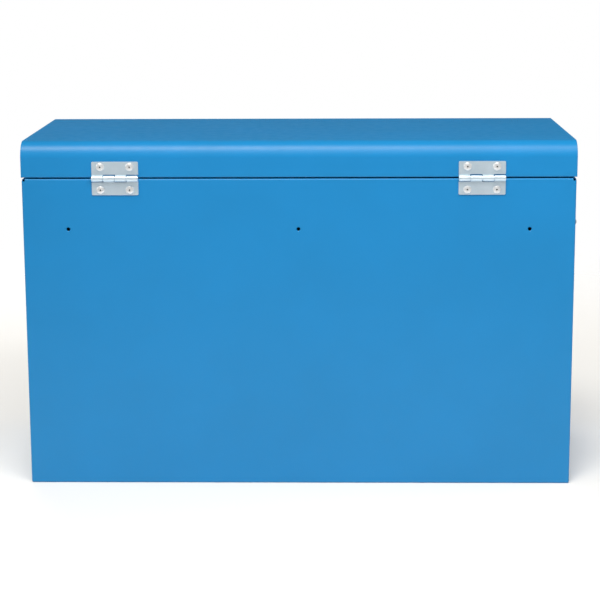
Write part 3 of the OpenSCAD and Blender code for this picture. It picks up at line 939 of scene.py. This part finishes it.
@dataclass
class Case(FoldedWork):
    """The folded case with its base pan, its till and the uprights of the slides."""

    rim_flange: float = 8 * MM
    foot_flange: float = 10 * MM
    post: float = 16 * MM
    front: float = -110 * MM
    relief: float = 2.2 * MM
    hole_pitch: float = 213 * MM
    hole_radius: float = 1.6 * MM
    hole_height: float = 244.1 * MM
    countersink: float = 0.75 * MM
    lock_hole: float = 9.7 * MM

    def build(self) -> None:
        """Models and dresses all of it."""
        self.shell()
        self.fold_tray("base_pan", "base_pan_sheet", "case", UP)
        self.till_panel()
        self.fold_tray("till_floor", "till_floor_sheet", "case", UP)
        self.lay_mat("till_mat", "case")
        dress(self.finishes.zinc, "slide_uprights_left", "slide_uprights_right")
        dress(self.finishes.rubber, "lid_bumpers")

    def shell(self) -> None:
        """Folds the walls with their flanges, and cuts the mouth, the holes and the reliefs."""
        low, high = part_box("case_shell")
        mouth = high.x - self.post
        # The front wall and its two flanges are the faces whose middle lies before this line
        reach = low.y + 0.6 * self.foot_flange
        shell = block("case_walls", low, high)
        with editing(shell, Pick.FACES) as pick:
            for up, width in ((1, self.rim_flange), (-1, self.foot_flange)):
                pick(lambda f: f.normal.z * up > FACING)
                bpy.ops.mesh.inset(thickness=width, depth=0)
                bpy.ops.mesh.delete(type="FACE")
            for x in (-mouth, mouth):
                pick(lambda f: f.calc_center_median().y < reach)
                bpy.ops.mesh.bisect(plane_co=(x, 0, 0), plane_no=(1, 0, 0))
            pick(lambda f: f.calc_center_median().y < reach and abs(f.calc_center_median().x) < mouth)
            bpy.ops.mesh.delete(type="FACE")
        round_edges(shell, folded, self.bend, steps=5)
        thicken(shell, self.sheet)
        combine(shell, self.cuts(low, high), "DIFFERENCE")
        round_edges(shell, lambda e: self.hole_rim(e, high.y), self.countersink, steps=1)
        hand_over(shell, self.finishes.paint, "case", "case_shell")

    def hole_rim(self, edge: Edge, back: float) -> bool:
        """Tells whether an edge belongs to the outer rim of a screw hole.

        Args:
            edge: The edge to look at.
            back: Where the wall's outer face lies.

        Returns:
            True for a rim's edge.
        """
        at = middle(edge)
        nearest = round(at.x / self.hole_pitch) * self.hole_pitch
        reach = math.hypot(at.x - nearest, at.z - self.hole_height)
        return abs(at.y - back) < SAME and reach < 1.05 * self.hole_radius

    def cuts(self, low: Vector, high: Vector) -> list[Object]:
        """Makes the tools that cut the screw holes and the reliefs in the rim's corners.

        Args:
            low: The case's lowest corner.
            high: Its highest corner.

        Returns:
            One tool for each cut.
        """
        past = 2 * self.sheet * OUT_BACK
        tools = []
        for i in (-1, 0, 1):
            hole = Vector((i * self.hole_pitch, high.y, self.hole_height))
            tools.append(rod("hole", self.hole_radius, hole - past, hole + past, 32))
        inset = self.relief - self.sheet
        for x in (low.x + inset, high.x - inset):
            for y in (low.y + inset, high.y - inset):
                foot = Vector((x, y, high.z - self.relief))
                tools.append(rod("relief", self.relief, foot, foot + 2 * self.relief * UP, 32))
        return tools

    def till_panel(self) -> None:
        """Folds the till's front panel, with a wing behind each post and a hole for the lock."""
        low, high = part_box("till_front")
        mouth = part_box("case_shell")[1].x - self.post - CLEARANCE
        rim = self.front + self.rim_flange
        path = [(high.y, low.z), (low.y, low.z), (low.y, high.z), (rim, high.z)]
        folds = [Fold(i, self.bend) for i in (1, 2)]
        panel = strip("till_panel", (-mouth, mouth), path, folds, self.sheet)
        seat = centre_of("lock_nut")
        start, end = low.y - self.sheet, low.y + 2 * self.sheet
        hole = rod("lock_hole", self.lock_hole, (seat.x, start, seat.z), (seat.x, end, seat.z))
        combine(panel, [hole], "DIFFERENCE")
        wing_top = high.z - self.sheet - CLEARANCE
        wings = [
            block("wing", (x0, low.y, low.z), (x1, low.y + self.sheet, wing_top))
            for x0, x1 in ((low.x, -mouth), (mouth, high.x))
        ]
        panel = join([panel, *wings], "till_panel")
        hand_over(panel, self.finishes.paint, "case", "till_front")


@dataclass
class Lid(FoldedWork):
    """The folded lid with its welded ends and the lock's strike."""

    edge: float = 15 * MM
    edge_steps: int = 14
    flange: float = 6 * MM
    fold: float = 1.2 * MM
    weld: float = 8.8 * MM
    plate_edge: float = 0.2 * MM

    def build(self) -> None:
        """Models and dresses all of it."""
        low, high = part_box("lid_shell")
        corners = [(low.y, low.z), (low.y, high.z), (high.y, high.z), (high.y, low.z)]
        path = [(low.y + self.flange, low.z), *corners, (high.y - self.flange, low.z)]
        rounds = [Fold(i, self.edge, self.edge_steps) for i in (2, 3)]
        folds = [Fold(1, self.fold), *rounds, Fold(4, self.fold)]
        shell = strip("lid_sheet", (low.x, high.x), path, folds, self.sheet)
        hand_over(shell, self.finishes.paint, "lid", "lid_shell")
        right = self.end()
        left = mirror_copy(right, "lid_cap_left")
        hand_over(right, self.finishes.paint, "lid", "lid_end_right")
        hand_over(left, self.finishes.paint, "lid", "lid_end_left")
        dress(self.finishes.zinc, "lid_strike")

    def end(self) -> Object:
        """Shapes the lid's right end: its plate, the weld flange and the flange turned in below.

        Returns:
            The end cap.
        """
        low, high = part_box("lid_end_right")
        plate = block("lid_cap_right", (high.x - self.sheet, low.y, low.z), high)
        upper = high.z - SAME
        round_edges(plate, lambda e: runs_along(e, 0) and middle(e).z > upper, self.edge, self.edge_steps)
        soften(plate, self.plate_edge)
        gap = self.sheet + CLEARANCE
        foot, top, side = low.z + gap, high.z - gap, high.y - gap
        path = [(-side, foot), (-side, top), (side, top), (side, foot)]
        folds = [Fold(i, self.edge - gap, self.edge_steps) for i in (1, 2)]
        seam = high.x - self.sheet / 2
        inner = strip("weld", (high.x - self.weld, seam), path, folds, self.sheet)
        turn = high.y - self.flange - CLEARANCE
        lower = block("turn", (high.x - self.flange, -turn, low.z), (seam, turn, low.z + self.sheet))
        return join([plate, inner, lower], "lid_cap_right")


@dataclass
class Hinge:
    """One butt hinge: two leaves with interleaved knuckles and a pin."""

    finishes: Finishes
    side: Side
    width: float = 43 * MM
    leaf: float = 15.5 * MM
    thickness: float = 1.1 * MM
    corner: float = 1.1 * MM
    knuckle: float = 2.75 * MM
    pin: float = 1.55 * MM
    knuckles: int = 4
    slit: float = 0.5 * MM
    notch_gap: float = 0.7 * MM
    pressed_edge: float = 0.25 * MM
    wall: float = 110 * MM

    @property
    def centre(self) -> Vector:
        """Gives the middle of the hinge's pin."""
        return centre_of(f"hinge_pin_{self.side.word}")

    def build(self) -> None:
        """Models and dresses the two leaves; the pin keeps its solid."""
        for word, up, body in (("upper", 1, "lid"), ("lower", -1, "case")):
            node = f"hinge_leaf_{word}_{self.side.word}"
            hand_over(self.one_leaf(f"{node}_pressed", up), self.finishes.zinc, body, node)
        dress(self.finishes.zinc, f"hinge_pin_{self.side.word}")

    def one_leaf(self, name: str, up: int) -> Object:
        """Presses one leaf.

        Args:
            name: Its name.
            up: 1 for the leaf on the lid, -1 for the case's.

        Returns:
            The leaf with its knuckles.
        """
        centre = self.centre
        start = centre.x - self.width / 2
        far = centre.z + up * self.leaf
        face = self.wall + self.thickness
        bottom, top = sorted((centre.z, far))
        plate = block(name, (start, self.wall, bottom), (start + self.width, face, top))
        round_edges(plate, lambda e: runs_along(e, 1) and abs(middle(e).z - far) < SAME, self.corner)
        step = self.width / self.knuckles
        reach = self.knuckle + self.notch_gap
        notches, curls = [], []
        for i in range(self.knuckles):
            x = start + i * step
            if (i % 2 == 1) == (up > 0):
                curls.append(self.curl(Vector((x + self.slit / 2, centre.y, centre.z)), step - self.slit))
            else:
                low = (x - self.slit / 2, self.wall - reach, centre.z - reach)
                high = (x + step + self.slit / 2, centre.y + reach, centre.z + reach)
                notches.append(block("notch", low, high))
        combine(plate, notches, "DIFFERENCE")
        soften(plate, self.pressed_edge)
        return join([plate, *curls], name)

    def curl(self, start: Vector, length: float) -> Object:
        """Rolls one knuckle as a tube round the pin.

        Args:
            start: The middle of its end towards -X.
            length: Its length.

        Returns:
            The knuckle.
        """
        outer, inner, end = self.knuckle / MM, self.pin / MM, length / MM
        edge = 0.2
        near_end = [(inner, 0), (outer - edge, 0), (outer, edge)]
        far_end = [(outer, end - edge), (outer - edge, end), (inner, end), (inner, 0)]
        return put_at(turned("curl", near_end + far_end, 40, bored=True), facing(OUT_RIGHT, start))


@dataclass
class HingeRivets:
    """The eight blind rivets of the two hinges."""

    finishes: Finishes
    half_pitch: float = 13.5 * MM
    rise: float = 10.6 * MM
    grip: float = 1.9

    def build(self) -> None:
        """Sets four rivets in the lid and four in the case."""
        for word, up in (("lid", 1), ("case", -1)):
            places = []
            for side in Side:
                hinge = Hinge(self.finishes, side)
                for i in (-1, 1):
                    seat = hinge.centre + Vector((i * self.half_pitch, 0, up * self.rise))
                    seat.y = hinge.wall + hinge.thickness
                    places.append(facing(OUT_BACK, seat))
            BlindRivets(self.finishes, self.grip).set_at(places, word, f"hinge_rivets_{word}")


@dataclass
class LidStays:
    """The slotted arms that stop the lid, and the shouldered studs that carry them."""

    finishes: Finishes
    swage_height: float = 1 * MM

    def build(self) -> None:
        """Dresses the arms, and turns the studs of the lid and of the case."""
        dress(self.finishes.zinc, "stay_arm_left", "stay_arm_right")
        for word in ("lid", "case"):
            node = f"stay_studs_{word}"
            centre = centre_of(node)
            wall = (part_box(node)[1].x - self.swage_height) / MM
            places = [facing(side.value * OUT_RIGHT, (0, centre.y, centre.z)) for side in Side]
            studs = spread_out(self.stud(wall), places, f"{node}_turned")
            hand_over(studs, self.finishes.zinc, word, node)

    def stud(self, wall: float) -> Object:
        """Turns one stud about Z, with its length measured from the box's middle.

        Args:
            wall: Where the wall's outer face lies, in millimetres.

        Returns:
            The stud at the origin.
        """
        head = [(3.9, 241.7), (4.4, 241.9), (4.5, 242.2), (4.5, 243.2)]
        journal = [(2.5, 243.2), (2.5, 245.3), (4.0, 245.3), (4.0, wall - 0.8), (2.0, wall - 0.8)]
        swage = [(2.0, 0), (3.8, 0), (3.9, 0.15), (3.7, 0.55), (3.1, 0.85), (2.0, 1.0)]
        return turned("stud", head + journal + [(radius, wall + z) for radius, z in swage], 40)


@dataclass
class Lock:
    """The cam lock in the till's front panel."""

    finishes: Finishes
    face_y: float = -109.2 * MM
    keyhole: tuple[float, float] = (1.4 * MM, 7.0 * MM)
    keyhole_reach: tuple[float, float] = (3 * MM, 7 * MM)

    def build(self) -> None:
        """Turns the barrel and the plug, and dresses the rest."""
        centre = centre_of("lock_barrel")
        place = facing(OUT_FRONT, (centre.x, self.face_y, centre.z))
        barrel = put_at(turned("lock_barrel_turned", self.barrel_profile(), 64, bored=True), place)
        hand_over(barrel, self.finishes.chrome, "case", "lock_barrel")
        plug = put_at(turned("lock_plug_turned", self.plug_profile()), place)
        half = Vector((self.keyhole[0] / 2, 0, self.keyhole[1] / 2))
        out, into = self.keyhole_reach
        corners = [Vector((centre.x, self.face_y + y, centre.z)) for y in (-out, into)]
        combine(plug, [block("slot", corners[0] - half, corners[1] + half)], "DIFFERENCE")
        hand_over(plug, self.finishes.chrome, "lock", "lock_plug")
        dress(self.finishes.zinc, "lock_nut", "lock_cam")
        dress(self.finishes.oxide, "lock_cam_screw")

    def barrel_profile(self) -> Points:
        """Lists the rings of the barrel, outside and back through its bore.

        Returns:
            Radius and height of each ring in millimetres.
        """
        body = [(6.1, -14.8), (9.2, -14.8), (9.5, -14.5), (9.5, 0)]
        flange = [(11.2, 0), (11.5, 0.3), (11.5, 1.1), (11.2, 1.6), (10.6, 1.95), (8.6, 2.0)]
        face = [(8.2, 1.7), (7.4, 1.7), (7.0, 2.0), (6.5, 2.0), (6.1, 1.7), (6.1, -14.8)]
        return body + flange + face

    def plug_profile(self) -> Points:
        """Lists the rings of the plug, from its tail to its face."""
        tail = [(2.8, -17.8), (3.0, -17.6), (3.0, -15.8), (6.0, -15.8)]
        return tail + [(6.0, 1.5), (5.9, 1.75), (5.6, 1.9), (4.9, 1.9), (4.7, 1.7), (4.4, 1.7)]


@dataclass
class SideHandle:
    """A drop handle on one end wall: plate, four blind rivets, wire bail and rubber grip."""

    finishes: Finishes
    plate_thickness: float = 1.5 * MM
    plate_corner: float = 3 * MM
    pressed_edge: float = 0.35 * MM
    ear: float = 3.7 * MM
    ear_length: float = 6 * MM
    wire_radius: float = 2.5 * MM
    leg: float = 34.2 * MM
    upper_bend: float = 4 * MM
    lower_bend: float = 8 * MM
    grip_half: float = 24 * MM
    grooves: int = 9
    groove_pitch: float = 4
    rivet_half_pitch: tuple[float, float] = (50.2 * MM, 7 * MM)
    rivet_grip: float = 2.3

    def build(self) -> None:
        """Models the right handle, and mirrors it to the left."""
        chrome, rubber = self.finishes.chrome, self.finishes.rubber
        for right, node, finish, slot in (
            (self.plate(), "handle_plate", chrome, "chrome_plate"),
            (self.bail(), "handle_bail", chrome, "chrome_plate"),
            (self.grip(), "handle_grip", rubber, "black_rubber"),
        ):
            left = mirror_copy(right, f"{node}_left_formed")
            right.name = f"{node}_right_formed"
            for piece, side in ((right, Side.RIGHT), (left, Side.LEFT)):
                body = "case" if node == "handle_plate" else f"handle_{side.word}"
                hand_over(piece, finish, body, f"{node}_{side.word}")
        self.rivets()

    def pivot(self) -> Vector:
        """Gives the middle of the right handle's pivot line."""
        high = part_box("handle_bail_right")[1]
        return Vector((high.x - self.wire_radius, 0, high.z - self.wire_radius))

    def plate(self) -> Object:
        """Shapes the plate with its two ears, bored for the bail.

        Returns:
            The right plate.
        """
        low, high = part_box("handle_plate_right")
        x, _, z = self.pivot()
        half = (high.y - low.y) / 2
        plate = block("plate", (low.x, -half, low.z), (low.x + self.plate_thickness, half, high.z))
        round_edges(plate, lambda e: runs_along(e, 0), self.plate_corner, steps=5)
        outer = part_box("handle_bail_right")[1].y
        inside = low.x + self.plate_thickness / 2
        ears = []
        for y0 in (outer - self.ear_length, -outer):
            y1 = y0 + self.ear_length
            ears.append(block("ear_foot", (inside, y0, z - self.ear), (x, y1, z + self.ear)))
            ears.append(rod("ear", self.ear, (x, y0, z), (x, y1, z)))
        combine(plate, ears, "UNION")
        bore = rod("bore", self.wire_radius + CLEARANCE / 2, (x, -2 * outer, z), (x, 2 * outer, z))
        combine(plate, [bore], "DIFFERENCE")
        soften(plate, self.pressed_edge)
        return plate

    def bail(self) -> Object:
        """Bends the bail from one wire, hanging down.

        Returns:
            The right bail.
        """
        low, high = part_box("handle_bail_right")
        x, _, z = self.pivot()
        bottom = low.z + self.wire_radius
        upper, lower, leg = self.upper_bend, self.lower_bend, self.leg
        drop = z - bottom - upper - lower
        end = Vector((0, leg + upper - high.y, 0))
        moves = [
            end,
            Bend(Vector((x, leg + upper, z - upper)), 90),
            Vector((0, 0, -drop)),
            Bend(Vector((x, leg - lower, bottom + lower)), -90),
            Vector((0, -2 * (leg - lower), 0)),
            Bend(Vector((x, lower - leg, bottom + lower)), -90),
            Vector((0, 0, drop)),
            Bend(Vector((x, -leg - upper, z - upper)), 90),
            end,
        ]
        return wire("bail", self.wire_radius, Vector((x, high.y, z)), OUT_FRONT, moves)

    def grip(self) -> Object:
        """Moulds the grip sleeve with shallow ring grooves.

        Returns:
            The right grip.
        """
        half = self.grip_half / MM
        bore = self.wire_radius / MM + 0.05
        profile = [(bore, -half), (4.2, -half), (4.7, -half + 0.3), (5.0, -half + 0.9)]
        for i in range(self.grooves):
            y = self.groove_pitch * (i - (self.grooves - 1) / 2)
            profile += [(5.0, y - 0.7), (4.75, y - 0.45), (4.6, y), (4.75, y + 0.45), (5.0, y + 0.7)]
        profile += [(5.0, half - 0.9), (4.7, half - 0.3), (4.2, half), (bore, half), (bore, -half)]
        place = facing(OUT_BACK, centre_of("handle_grip_right"))
        return put_at(turned("grip", profile, 40, bored=True), place)

    def rivets(self) -> None:
        """Sets the eight rivets of the two plates."""
        low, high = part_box("handle_plate_right")
        seat = low.x + self.plate_thickness
        along, rise = self.rivet_half_pitch
        middle_z = (low.z + high.z) / 2
        places = [
            facing(side.value * OUT_RIGHT, (side.value * seat, i * along, middle_z + j * rise))
            for side in Side
            for i in (-1, 1)
            for j in (-1, 1)
        ]
        BlindRivets(self.finishes, self.rivet_grip).set_at(places, "case", "handle_rivets")


@dataclass
class Drawer(FoldedWork):
    """One drawer: folded front, pan with a hemmed rim, extruded pull, mat and ball slides."""

    level: Level = Level.BOTTOM
    pan_sheet: float = 0.75 * MM
    hem: float = 6 * MM
    hem_round: float = 0.45
    pull_bend: float = 3 * MM
    pull_fold: float = 0.3 * MM
    pull_edge: float = 0.15 * MM
    pull_sheet: float = 1.4 * MM
    lip: float = 7.5 * MM

    def build(self) -> None:
        """Models and dresses all of it."""
        word = self.level.value
        body = f"{word}_drawer"
        self.fold_tray(f"{body}_front", f"{body}_front_folded", body, OUT_BACK)
        self.pan(body)
        self.pull(body)
        self.lay_mat(f"{body}_mat", body)
        dress(self.finishes.zinc, f"{body}_runners", f"{body}_rails")
        dress(self.finishes.zinc, f"{word}_ball_cage_left", f"{word}_ball_cage_right")

    def pan(self, body: str) -> None:
        """Folds the pan, with its rim turned down inside as a hem.

        Args:
            body: The body that it rides on.
        """
        node = f"{body}_pan"
        low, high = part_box(node)
        size = high - low
        hem = 2 * self.sheet
        rim = high.z - SAME
        pan = block(f"{node}_folded", low, high)
        with editing(pan, Pick.FACES) as pick:
            pick(lambda f: f.normal.z > FACING)
            extrude((0, 0, 0))
            ratio = (1 - 2 * hem / size.x, 1 - 2 * hem / size.y, 1)
            bpy.ops.transform.resize(value=ratio, center_override=(low + high) / 2)
            extrude((0, 0, -self.hem))
            bpy.ops.mesh.delete(type="FACE")
        round_edges(pan, lambda e: folded(e) and middle(e).z > rim, self.hem_round * self.sheet, 3)
        round_edges(pan, lambda e: folded(e) and self.outside_hem(middle(e), low, high), self.bend)
        thicken(pan, self.pan_sheet)
        hand_over(pan, self.finishes.paint, body, node)

    def outside_hem(self, at: Vector, low: Vector, high: Vector) -> bool:
        """Tells whether a point lies below the hem, and not on its inner side.

        Args:
            at: The point.
            low: The pan's lowest corner.
            high: Its highest corner.

        Returns:
            True for a point of the outer walls or the floor.
        """
        slack = self.sheet
        inside_x = low.x + slack < at.x < high.x - slack
        inside_y = low.y + slack < at.y < high.y - slack
        return at.z < high.z - self.hem and not (inside_x and inside_y and at.z > low.z + slack)

    def pull(self, body: str) -> None:
        """Cuts the pull from its extrusion.

        Args:
            body: The body that it rides on.
        """
        node = f"{body}_pull"
        low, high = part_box(node)
        path = [(low.y, high.z - self.lip), (low.y, high.z), (high.y, high.z), (high.y, low.z)]
        folds = [Fold(1, self.pull_bend, 8), Fold(2, self.pull_fold, 2)]
        pull = strip(f"{node}_extrusion", (low.x, high.x), path, folds, self.pull_sheet)
        soften(pull, self.pull_edge)
        hand_over(pull, self.finishes.trim, body, node)


# ---------------------------------------------------------------- studio


@dataclass(frozen=True)
class PhotoCamera:
    """The photograph's camera, as fitted to the corners of the box's back, lid and seam."""

    place: Vector = Vector((-0.034, 1.685, 0.510))
    yaw: float = 1.19
    pitch: float = 10.93
    roll: float = 0.26
    lens: float = 103.86
    shift: float = -0.05
    sensor: float = 36
    clip: tuple[float, float] = (0.05, 50)

    def build(self) -> None:
        """Places the camera behind the box, turned towards its back."""
        data = bpy.data.cameras.new("photo_camera")
        data.sensor_width = self.sensor
        data.lens = self.lens
        data.shift_y = self.shift
        data.clip_start, data.clip_end = self.clip
        camera = bpy.data.objects.new("photo_camera", data)
        bpy.context.scene.collection.objects.link(camera)
        bpy.context.scene.camera = camera
        turn = Matrix.Identity(3)
        for angle, axis in ((self.yaw, "Z"), (-self.pitch, "X"), (self.roll, "Y")):
            turn = turn @ Matrix.Rotation(math.radians(angle), 3, axis)
        right, forward, up = (turn.col[i] for i in range(3))
        around = Matrix.Rotation(math.pi, 3, "Z")
        axes = Matrix((around @ right, around @ up, -(around @ forward))).transposed()
        camera.matrix_world = Matrix.Translation(self.place) @ axes.to_4x4()


def hang(data: bpy.types.Light, towards: Vector) -> Object:
    """Hangs a lamp in the scene, turned in a direction.

    Args:
        data: The lamp, which also names its object.
        towards: Where its light goes.

    Returns:
        The lamp's object.
    """
    light = bpy.data.objects.new(data.name, data)
    bpy.context.scene.collection.objects.link(light)
    light.rotation_mode = "QUATERNION"
    light.rotation_quaternion = towards.to_track_quat("-Z", "Y")
    return light


@dataclass(frozen=True)
class SoftBox:
    """A soft light panel that faces the box."""

    name: str
    place: tuple[float, float, float]
    size: tuple[float, float]
    power: float
    mirrored: bool = True
    aim: Vector = Vector((0, 0, 0.2))

    def build(self) -> None:
        """Hangs the panel."""
        data = bpy.data.lights.new(self.name, "AREA")
        data.shape = "RECTANGLE"
        data.size, data.size_y = self.size
        data.energy = self.power
        light = hang(data, self.aim - Vector(self.place))
        light.location = self.place
        light.visible_camera = False
        light.visible_glossy = self.mirrored


@dataclass(frozen=True)
class SkyLight:
    """A large round light far overhead, a little behind the box, as from a high soft panel."""

    colour: str = "FFF7E6"
    elevation: float = 68
    aside: float = 0.12
    spread: float = 28
    power: float = 1.55

    def build(self) -> None:
        """Hangs the light."""
        data = bpy.data.lights.new("high_panel", "SUN")
        data.color = linear(self.colour)[:3]
        data.energy = self.power
        data.angle = math.radians(self.spread)
        angle = math.radians(self.elevation)
        hang(data, -Vector((self.aside, math.cos(angle), math.sin(angle))))


@dataclass(frozen=True)
class Studio:
    """A pale floor, a white backdrop and soft lights."""

    floor_reach: tuple[float, float] = (0.5, 1.3)
    room_light: tuple[float, float] = (0.1, 0.4)
    ground_light: float = 0.4
    panels: tuple[SoftBox, ...] = (
        SoftBox("panel_behind", (-0.15, 0.75, 0.92), (0.8, 0.5), 8.2, mirrored=False),
        SoftBox("panel_front", (0.5, -1.9, 0.7), (1.6, 0.8), 24, mirrored=False),
        SoftBox("side_left", (-2.0, -0.3, 1.0), (1.0, 0.8), 8),
        SoftBox("side_right", (2.0, 0.3, 1.0), (1.0, 0.8), 8),
    )

    def build(self) -> None:
        """Builds the floor, the world and the lights."""
        bpy.context.scene.view_settings.view_transform = "Standard"
        self.floor()
        self.world()
        SkyLight().build()
        for panel in self.panels:
            panel.build()

    def floor(self) -> None:
        """Lays a round floor that fades out into the white room."""
        deselect()
        bpy.ops.mesh.primitive_circle_add(vertices=96, radius=self.floor_reach[1], fill_type="NGON")
        floor = bpy.context.object
        floor.name = "floor"
        material = PaleFloor().make()
        tree = material.node_tree
        place = add_node(tree, "ShaderNodeTexCoord").outputs["Object"]
        distance = add_node(tree, "ShaderNodeVectorMath", {0: place}, operation="LENGTH").outputs["Value"]
        near_edge, far_edge = self.floor_reach
        fade = {"Value": distance, "From Min": near_edge, "From Max": far_edge, "To Min": 1, "To Max": 0}
        share = add_node(tree, "ShaderNodeMapRange", fade, interpolation_type="SMOOTHSTEP")
        tree.links.new(share.outputs["Result"], tree.nodes["Principled BSDF"].inputs["Alpha"])
        floor.data.materials.append(material)

    def world(self) -> None:
        """Shows white to the camera, and to everything else a room of three soft brightnesses."""
        world = bpy.data.worlds.new("white_room")
        bpy.context.scene.world = world
        world.use_nodes = True
        tree = world.node_tree
        tree.nodes.clear()
        seen = add_node(tree, "ShaderNodeLightPath").outputs["Is Camera Ray"]
        direction = add_node(tree, "ShaderNodeTexCoord").outputs["Generated"]
        parts = add_node(tree, "ShaderNodeSeparateXYZ", {"Vector": direction}).outputs
        low, high = self.room_light
        strength = 0.0
        # Along each axis of the view the light goes from one level to another: to the ceiling,
        # to the side behind the box, and up from the ground
        for axis, start, end, before, after in (
            ("Z", 0.35, 0.7, low, 0.45 * high),
            ("Y", -0.3, 0.5, low, high),
            ("Z", -0.12, -0.04, self.ground_light, low),
        ):
            rise = {"Value": parts[axis], "From Min": start, "From Max": end, "To Min": before}
            rise["To Max"] = after
            glow = add_node(tree, "ShaderNodeMapRange", rise, interpolation_type="SMOOTHSTEP")
            levels = {0: strength, 1: glow.outputs["Result"]}
            strength = add_node(tree, "ShaderNodeMath", levels, operation="MAXIMUM").outputs["Value"]
        white = (1, 1, 1, 1)
        room = add_node(tree, "ShaderNodeBackground", {"Color": white, "Strength": strength})
        backdrop = add_node(tree, "ShaderNodeBackground", {"Color": white})
        shown = {0: seen, 1: room.outputs["Background"], 2: backdrop.outputs["Background"]}
        mix = add_node(tree, "ShaderNodeMixShader", shown)
        add_node(tree, "ShaderNodeOutputWorld", {"Surface": mix.outputs["Shader"]})


@dataclass
class ToolBox:
    """The whole object, piece by piece."""

    finishes: Finishes

    def build(self) -> None:
        """Builds every sub-assembly."""
        Case(self.finishes).build()
        Lid(self.finishes).build()
        for side in Side:
            Hinge(self.finishes, side).build()
        for assembly in (HingeRivets, LidStays, Lock, SideHandle):
            assembly(self.finishes).build()
        for level in Level:
            Drawer(self.finishes, level=level).build()


def main() -> None:
    """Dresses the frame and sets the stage."""
    logging.basicConfig(level=logging.INFO, format="%(name)s: %(message)s")
    ToolBox(Finishes()).build()
    Studio().build()
    PhotoCamera().build()


if __name__ == "__main__":
    main()
